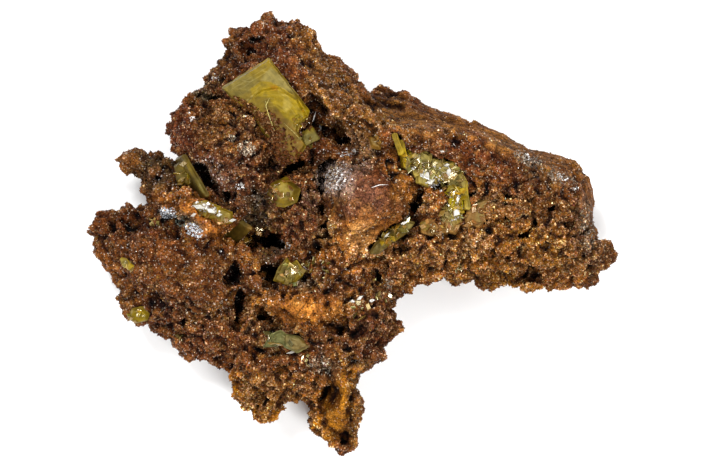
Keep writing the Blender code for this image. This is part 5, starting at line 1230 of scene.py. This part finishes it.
# Pale druse: colour, grains per square millimetre, then the oval.
PALE_DRUSE = [
    ("silver", 34, (-27.3, 3.5, 1.3, 0.9, -10)), ("silver", 26, (-23.4, 0.9, 1.5, 0.9, -25)),
    ("teal", 18, (-25.4, 2.3, 1.0, 0.7, -40)), ("beige", 34, (-17.8, 14.6, 0.6, 0.6, 0)),
    ("beige", 26, (-15.5, 13.0, 1.4, 1.1, -20)), ("white", 18, (-23.5, 17.4, 0.4, 0.6, 0)),
    ("white", 12, (-20.3, 23.7, 0.5, 0.7, 0)), ("white", 20, (-16.4, 7.5, 0.8, 0.5, 0)),
    ("lilac", 20, (-2.6, 9.0, 2.8, 2.4, 30)), ("white", 14, (-2.2, 8.6, 1.8, 1.6, 60)),
    ("white", 9, (-0.6, 12.5, 1.7, 0.6, 5)), ("white", 24, (-10.4, -0.9, 0.5, 0.4, 0)),
    ("white", 24, (-9.5, -1.4, 0.5, 0.5, 0)), ("grey", 16, (26.3, 11.5, 2.3, 0.9, -25)),
    ("white", 10, (26.8, 11.6, 1.2, 0.5, -25)), ("grey", 16, (31.0, 8.9, 1.7, 0.8, -20)),
    ("white", 14, (31.6, 8.8, 0.9, 0.5, -20)), ("white", 18, (33.7, 7.2, 0.4, 0.4, 0)),
    ("grey", 12, (5.6, -7.2, 1.0, 0.9, 0)), ("beige", 9, (-4.6, -19.3, 1.8, 1.5, 0)),
    ("grey", 7, (-13.4, 5.6, 1.6, 1.6, 0)), ("lilac", 5, (-20.4, 10.0, 1.4, 2.6, 40)),
    ("grey", 8, (35.3, 1.0, 1.4, 3.6, 0)), ("beige", 2, (-23.0, -12.4, 4.0, 1.4, -38)),
    ("white", 10, (12.6, 8.8, 2.6, 1.6, -40)), ("white", 8, (15.6, 4.6, 1.2, 2.4, 0)),
    ("white", 14, (-21.4, 4.2, 2.0, 0.7, -20)), ("grey", 7, (29.0, 10.2, 5.0, 1.0, -25))]


def crowd(face, oval, crowding, rng):
    """Strewn places, so many for each square millimetre of the oval, and their number."""
    count = int(crowding * math.pi * oval[2] * oval[3])
    places, normals = strew(face, oval, count, rng)
    return places, normals, len(places)


def make_pale_druse(face, rng):
    """Patches of pale and silvery crystal crust."""
    parts = []
    for colour, crowding, oval in PALE_DRUSE:
        places, normals, amount = crowd(face, oval, crowding, rng)
        tints = COLOURS[colour] * np.exp(rng.normal(*PALE_TONE, (amount, 1)))
        parts.append((places, normals, rng.uniform(*PALE_RADII, amount),
                      np.clip(tints, 0, 0.92), rng.uniform(*PALE_GLOSS, amount)))
    return make_grains("pale_druse", *join_columns(parts), rng)


RIM_LEVELS = (-0.1, 0.3)         # from half sunk in the skin to lying on it
# Gossan crumbs that lap over the plates' rims: crumbs per square millimetre, then the oval.
OVERGROWTH = [
    (24, (-16.6, 20.2, 1.0, 0.4, -32)), (26, (-14.8, 19.0, 1.7, 0.7, -38)),
    (26, (-12.9, 17.2, 1.6, 0.8, -50)), (26, (-11.7, 15.0, 1.7, 0.9, -62)),
    (26, (-10.3, 12.9, 1.6, 0.8, -58)), (24, (-8.9, 11.2, 1.1, 0.7, -45)),
    (10, (-11.4, 16.4, 1.2, 2.6, 30)), (7, (-9.2, 13.6, 1.2, 2.6, 30)),
    (16, (-6.4, 16.6, 0.9, 0.6, -50)), (14, (-11.8, 5.8, 0.9, 1.6, 0)),
    (12, (-19.8, 2.0, 1.8, 0.5, -20))]


def make_overgrowth(face, rng):
    """Crumbs of the gossan's own colour that seat the plates in it."""
    parts = []
    for crowding, oval in OVERGROWTH:
        places, normals, amount = crowd(face, oval, crowding, rng)
        places = places + normals * rng.uniform(*RIM_LEVELS, (amount, 1))
        tints = tint_at(places) * DEPTH_OF_TONE
        tints = toned(tints, np.exp(rng.normal(*RIM_TONE, (amount, 1))))
        parts.append((places, normals, rng.uniform(*RIM_RADII, amount),
                      np.clip(tints, DARKEST, 0.85), rng.uniform(*CRUMB_GLOSS, amount)))
    return make_grains("rim_crumbs", *join_columns(parts), rng)


# Fine needles lying on the face: path, half width, height above it, colour.
NEEDLES = [
    ([(-12.7, 20.4), (-12.45, 18.9), (-11.9, 17.2), (-11.3, 15.7)], 0.05, 0.15, "straw"),
    ([(-12.0, 20.6), (-12.6, 19.4), (-12.2, 18.2)], 0.04, 0.12, "straw"),
    ([(-9.9, 16.8), (-8.4, 15.4), (-7.3, 14.2)], 0.05, 0.12, "straw"),
    ([(-5.2, 18.75), (-5.45, 17.9), (-5.7, 17.1)], 0.10, 1.6, "white"),
    ([(3.1, 7.2), (4.3, 7.6), (5.6, 7.65)], 0.13, 0.35, "white"),
    ([(-13.1, 32.4), (-13.0, 31.6), (-13.2, 31.0)], 0.05, 0.3, "beige"),
    ([(-1.4, 11.9), (-0.4, 12.3), (0.6, 12.2)], 0.06, 0.3, "white")]
NEEDLE_STOPS, NEEDLE_SIDES = 9, 3
NEEDLE_SQUEEZE = 0.6     # their sections are narrower across the face than they are high
NEEDLE_GLOSS = 0.6


def make_needles(face):
    """Three-sided rods along short paths over the face, pointed at both ends."""
    points, triangles, tints = [], [], []
    for path, width, lift, colour in NEEDLES:
        share = np.linspace(0, 1, NEEDLE_STOPS)
        stops = share * (len(path) - 1)
        plan = np.stack([np.interp(stops, range(len(path)), axis) for axis in zip(*path)], axis=1)
        level = max(face.meet(x, y)[0][2] for x, y in plan) + lift
        first = len(points)
        for (x, y), along in zip(plan, share):
            size = width * (0.25 + 0.75 * math.sin(math.pi * along))
            for corner in range(NEEDLE_SIDES):
                turn = 2 * math.pi * corner / NEEDLE_SIDES
                points.append((x + DRAWN_SHIFT[0] + size * math.cos(turn),
                               y + DRAWN_SHIFT[1] + size * math.sin(turn) * NEEDLE_SQUEEZE,
                               level + size * math.sin(turn)))
        for ring in range(first, len(points) - NEEDLE_SIDES, NEEDLE_SIDES):
            for a, b in ((0, 1), (1, 2), (2, 0)):
                a, b = ring + a, ring + b
                c, d = b + NEEDLE_SIDES, a + NEEDLE_SIDES
                triangles += [(a, b, c), (a, c, d)]
        last = len(points) - 1
        triangles += [(first + 2, first + 1, first), (last - 2, last - 1, last)]
        tints += [COLOURS[colour]] * (len(points) - first)
    needles = make_mesh("needles", points, triangles)
    paint(needles, np.array(tints), np.full(len(points), NEEDLE_GLOSS))
    return needles


# ---------------------------------------------------------------- studio
CAMERA_CENTRE = (0.66, -0.14)
CAMERA_LEVEL = 1200.0
FACE_LEVEL = 14.0        # the level that the picture's scale holds at
FRAME_WIDTH = 106.2
SENSOR = 36.0
CLIP_M = (0.1, 10.0)
FLOOR_REACH, FLOOR_LEVEL, FLOOR_TILES = 3000.0, -0.05, 14
FLOOR_WHITE, FLOOR_ROUGHNESS, WORLD_STRENGTH = 0.97, 0.9, 0.25
LIT_PLACE = (0, 0, 12)   # what every light points at

# Soft boxes, then three small lights that make the druse sparkle: place, width, power.
LIGHTS = dict(
    key=((-380, 620, 1300), 300, 16.9), fill=((420, -560, 1250), 450, 12.5),
    left_box=((-900, -200, 900), 500, 4.5), right_box=((900, 250, 900), 500, 4.5),
    spark_top=((-120, 300, 700), 30, 0.5), spark_right=((330, -60, 600), 30, 0.5),
    spark_low=((60, -300, 650), 30, 0.5))


def add_area_light(name, place, width, power):
    light = bpy.data.lights.new(name, "AREA")
    light.shape = "RECTANGLE"
    light.size = light.size_y = width * MM
    light.energy = power
    thing = bpy.data.objects.new(name, light)
    thing.location = Vector(place) * MM
    aim = Vector(place) - Vector(LIT_PLACE)
    thing.rotation_euler = aim.to_track_quat("Z", "Y").to_euler()
    bpy.context.scene.collection.objects.link(thing)


def make_floor():
    """A wide plain floor, in tiles: with four corners alone it upsets the crystals' paint."""
    count = FLOOR_TILES + 1
    line = np.linspace(-FLOOR_REACH, FLOOR_REACH, count)
    points = [(x, y, FLOOR_LEVEL) for y in line for x in line]
    corners = [row * count + column for row in range(FLOOR_TILES) for column in range(FLOOR_TILES)]
    triangles = [(a, a + 1, a + count + 1) for a in corners]
    triangles += [(a, a + count + 1, a + count) for a in corners]
    return make_mesh("floor", points, triangles)


def make_camera():
    """Straight above the display face, at the scale that the drawing was made at."""
    camera = bpy.data.cameras.new("camera")
    camera.sensor_width = SENSOR
    camera.lens = SENSOR * (CAMERA_LEVEL - FACE_LEVEL) / FRAME_WIDTH
    camera.clip_start, camera.clip_end = CLIP_M
    thing = bpy.data.objects.new("camera", camera)
    thing.location = Vector((*CAMERA_CENTRE, CAMERA_LEVEL)) * MM
    bpy.context.scene.collection.objects.link(thing)
    bpy.context.scene.camera = thing


def make_studio():
    """White floor, dim white surroundings, soft boxes and the camera."""
    floor = make_floor()
    white = Surface("floor_white")
    white.set(Base_Color=(FLOOR_WHITE, FLOOR_WHITE, FLOOR_WHITE, 1), Roughness=FLOOR_ROUGHNESS)
    floor.data.materials.append(white.material)
    world = bpy.data.worlds.new("studio")
    world.use_nodes = True
    world.node_tree.nodes["Background"].inputs["Color"].default_value = (1, 1, 1, 1)
    world.node_tree.nodes["Background"].inputs["Strength"].default_value = WORLD_STRENGTH
    bpy.context.scene.world = world
    bpy.context.scene.view_settings.view_transform = "Standard"
    for name, (place, width, power) in LIGHTS.items():
        add_area_light(name, place, width, power)
    make_camera()


# ---------------------------------------------------------------- the whole
# Roughest and smoothest grain, then the strength of the shine.
CRUMB_FINISH, DRUSE_FINISH = (0.8, 0.35, 0.07), (0.35, 0.1, 0.28)
# Roughness, strength of the shine and its tint.
CRYSTAL_FINISH = (0.42, 0.12, (0.34, 0.30, 0.14))
BLADE_FINISH = (0.2, 0.3, (0.75, 0.7, 0.5))
FLAKE_FINISH = (0.12, 0.5, (1.0, 1.0, 1.0))


def main():
    make_studio()
    skin = shape_gossan("gossan_skin")
    colour_gossan(skin)
    show(skin, gossan_material())
    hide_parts("gossan_matrix")
    rng = np.random.default_rng(SEED)
    crumbs = crumb_material("limonite_crumbs", *CRUMB_FINISH)
    druse = crumb_material("druse", *DRUSE_FINISH)
    for piece in make_crumbs(skin, rng):
        show(piece, druse if "druse" in piece.name else crumbs)
    face = Face([skin] + make_crystals())
    show(make_pale_druse(face, rng), druse)
    show(make_overgrowth(face, rng), crumbs)
    show(make_needles(face), druse)
    blades = wulfenite_material("wulfenite_blades", *BLADE_FINISH)
    show(make_blade_beds(face, rng), blades)
    flakes = wulfenite_material("glint_flakes", *FLAKE_FINISH)
    show(make_glints(face, rng), flakes)


main()
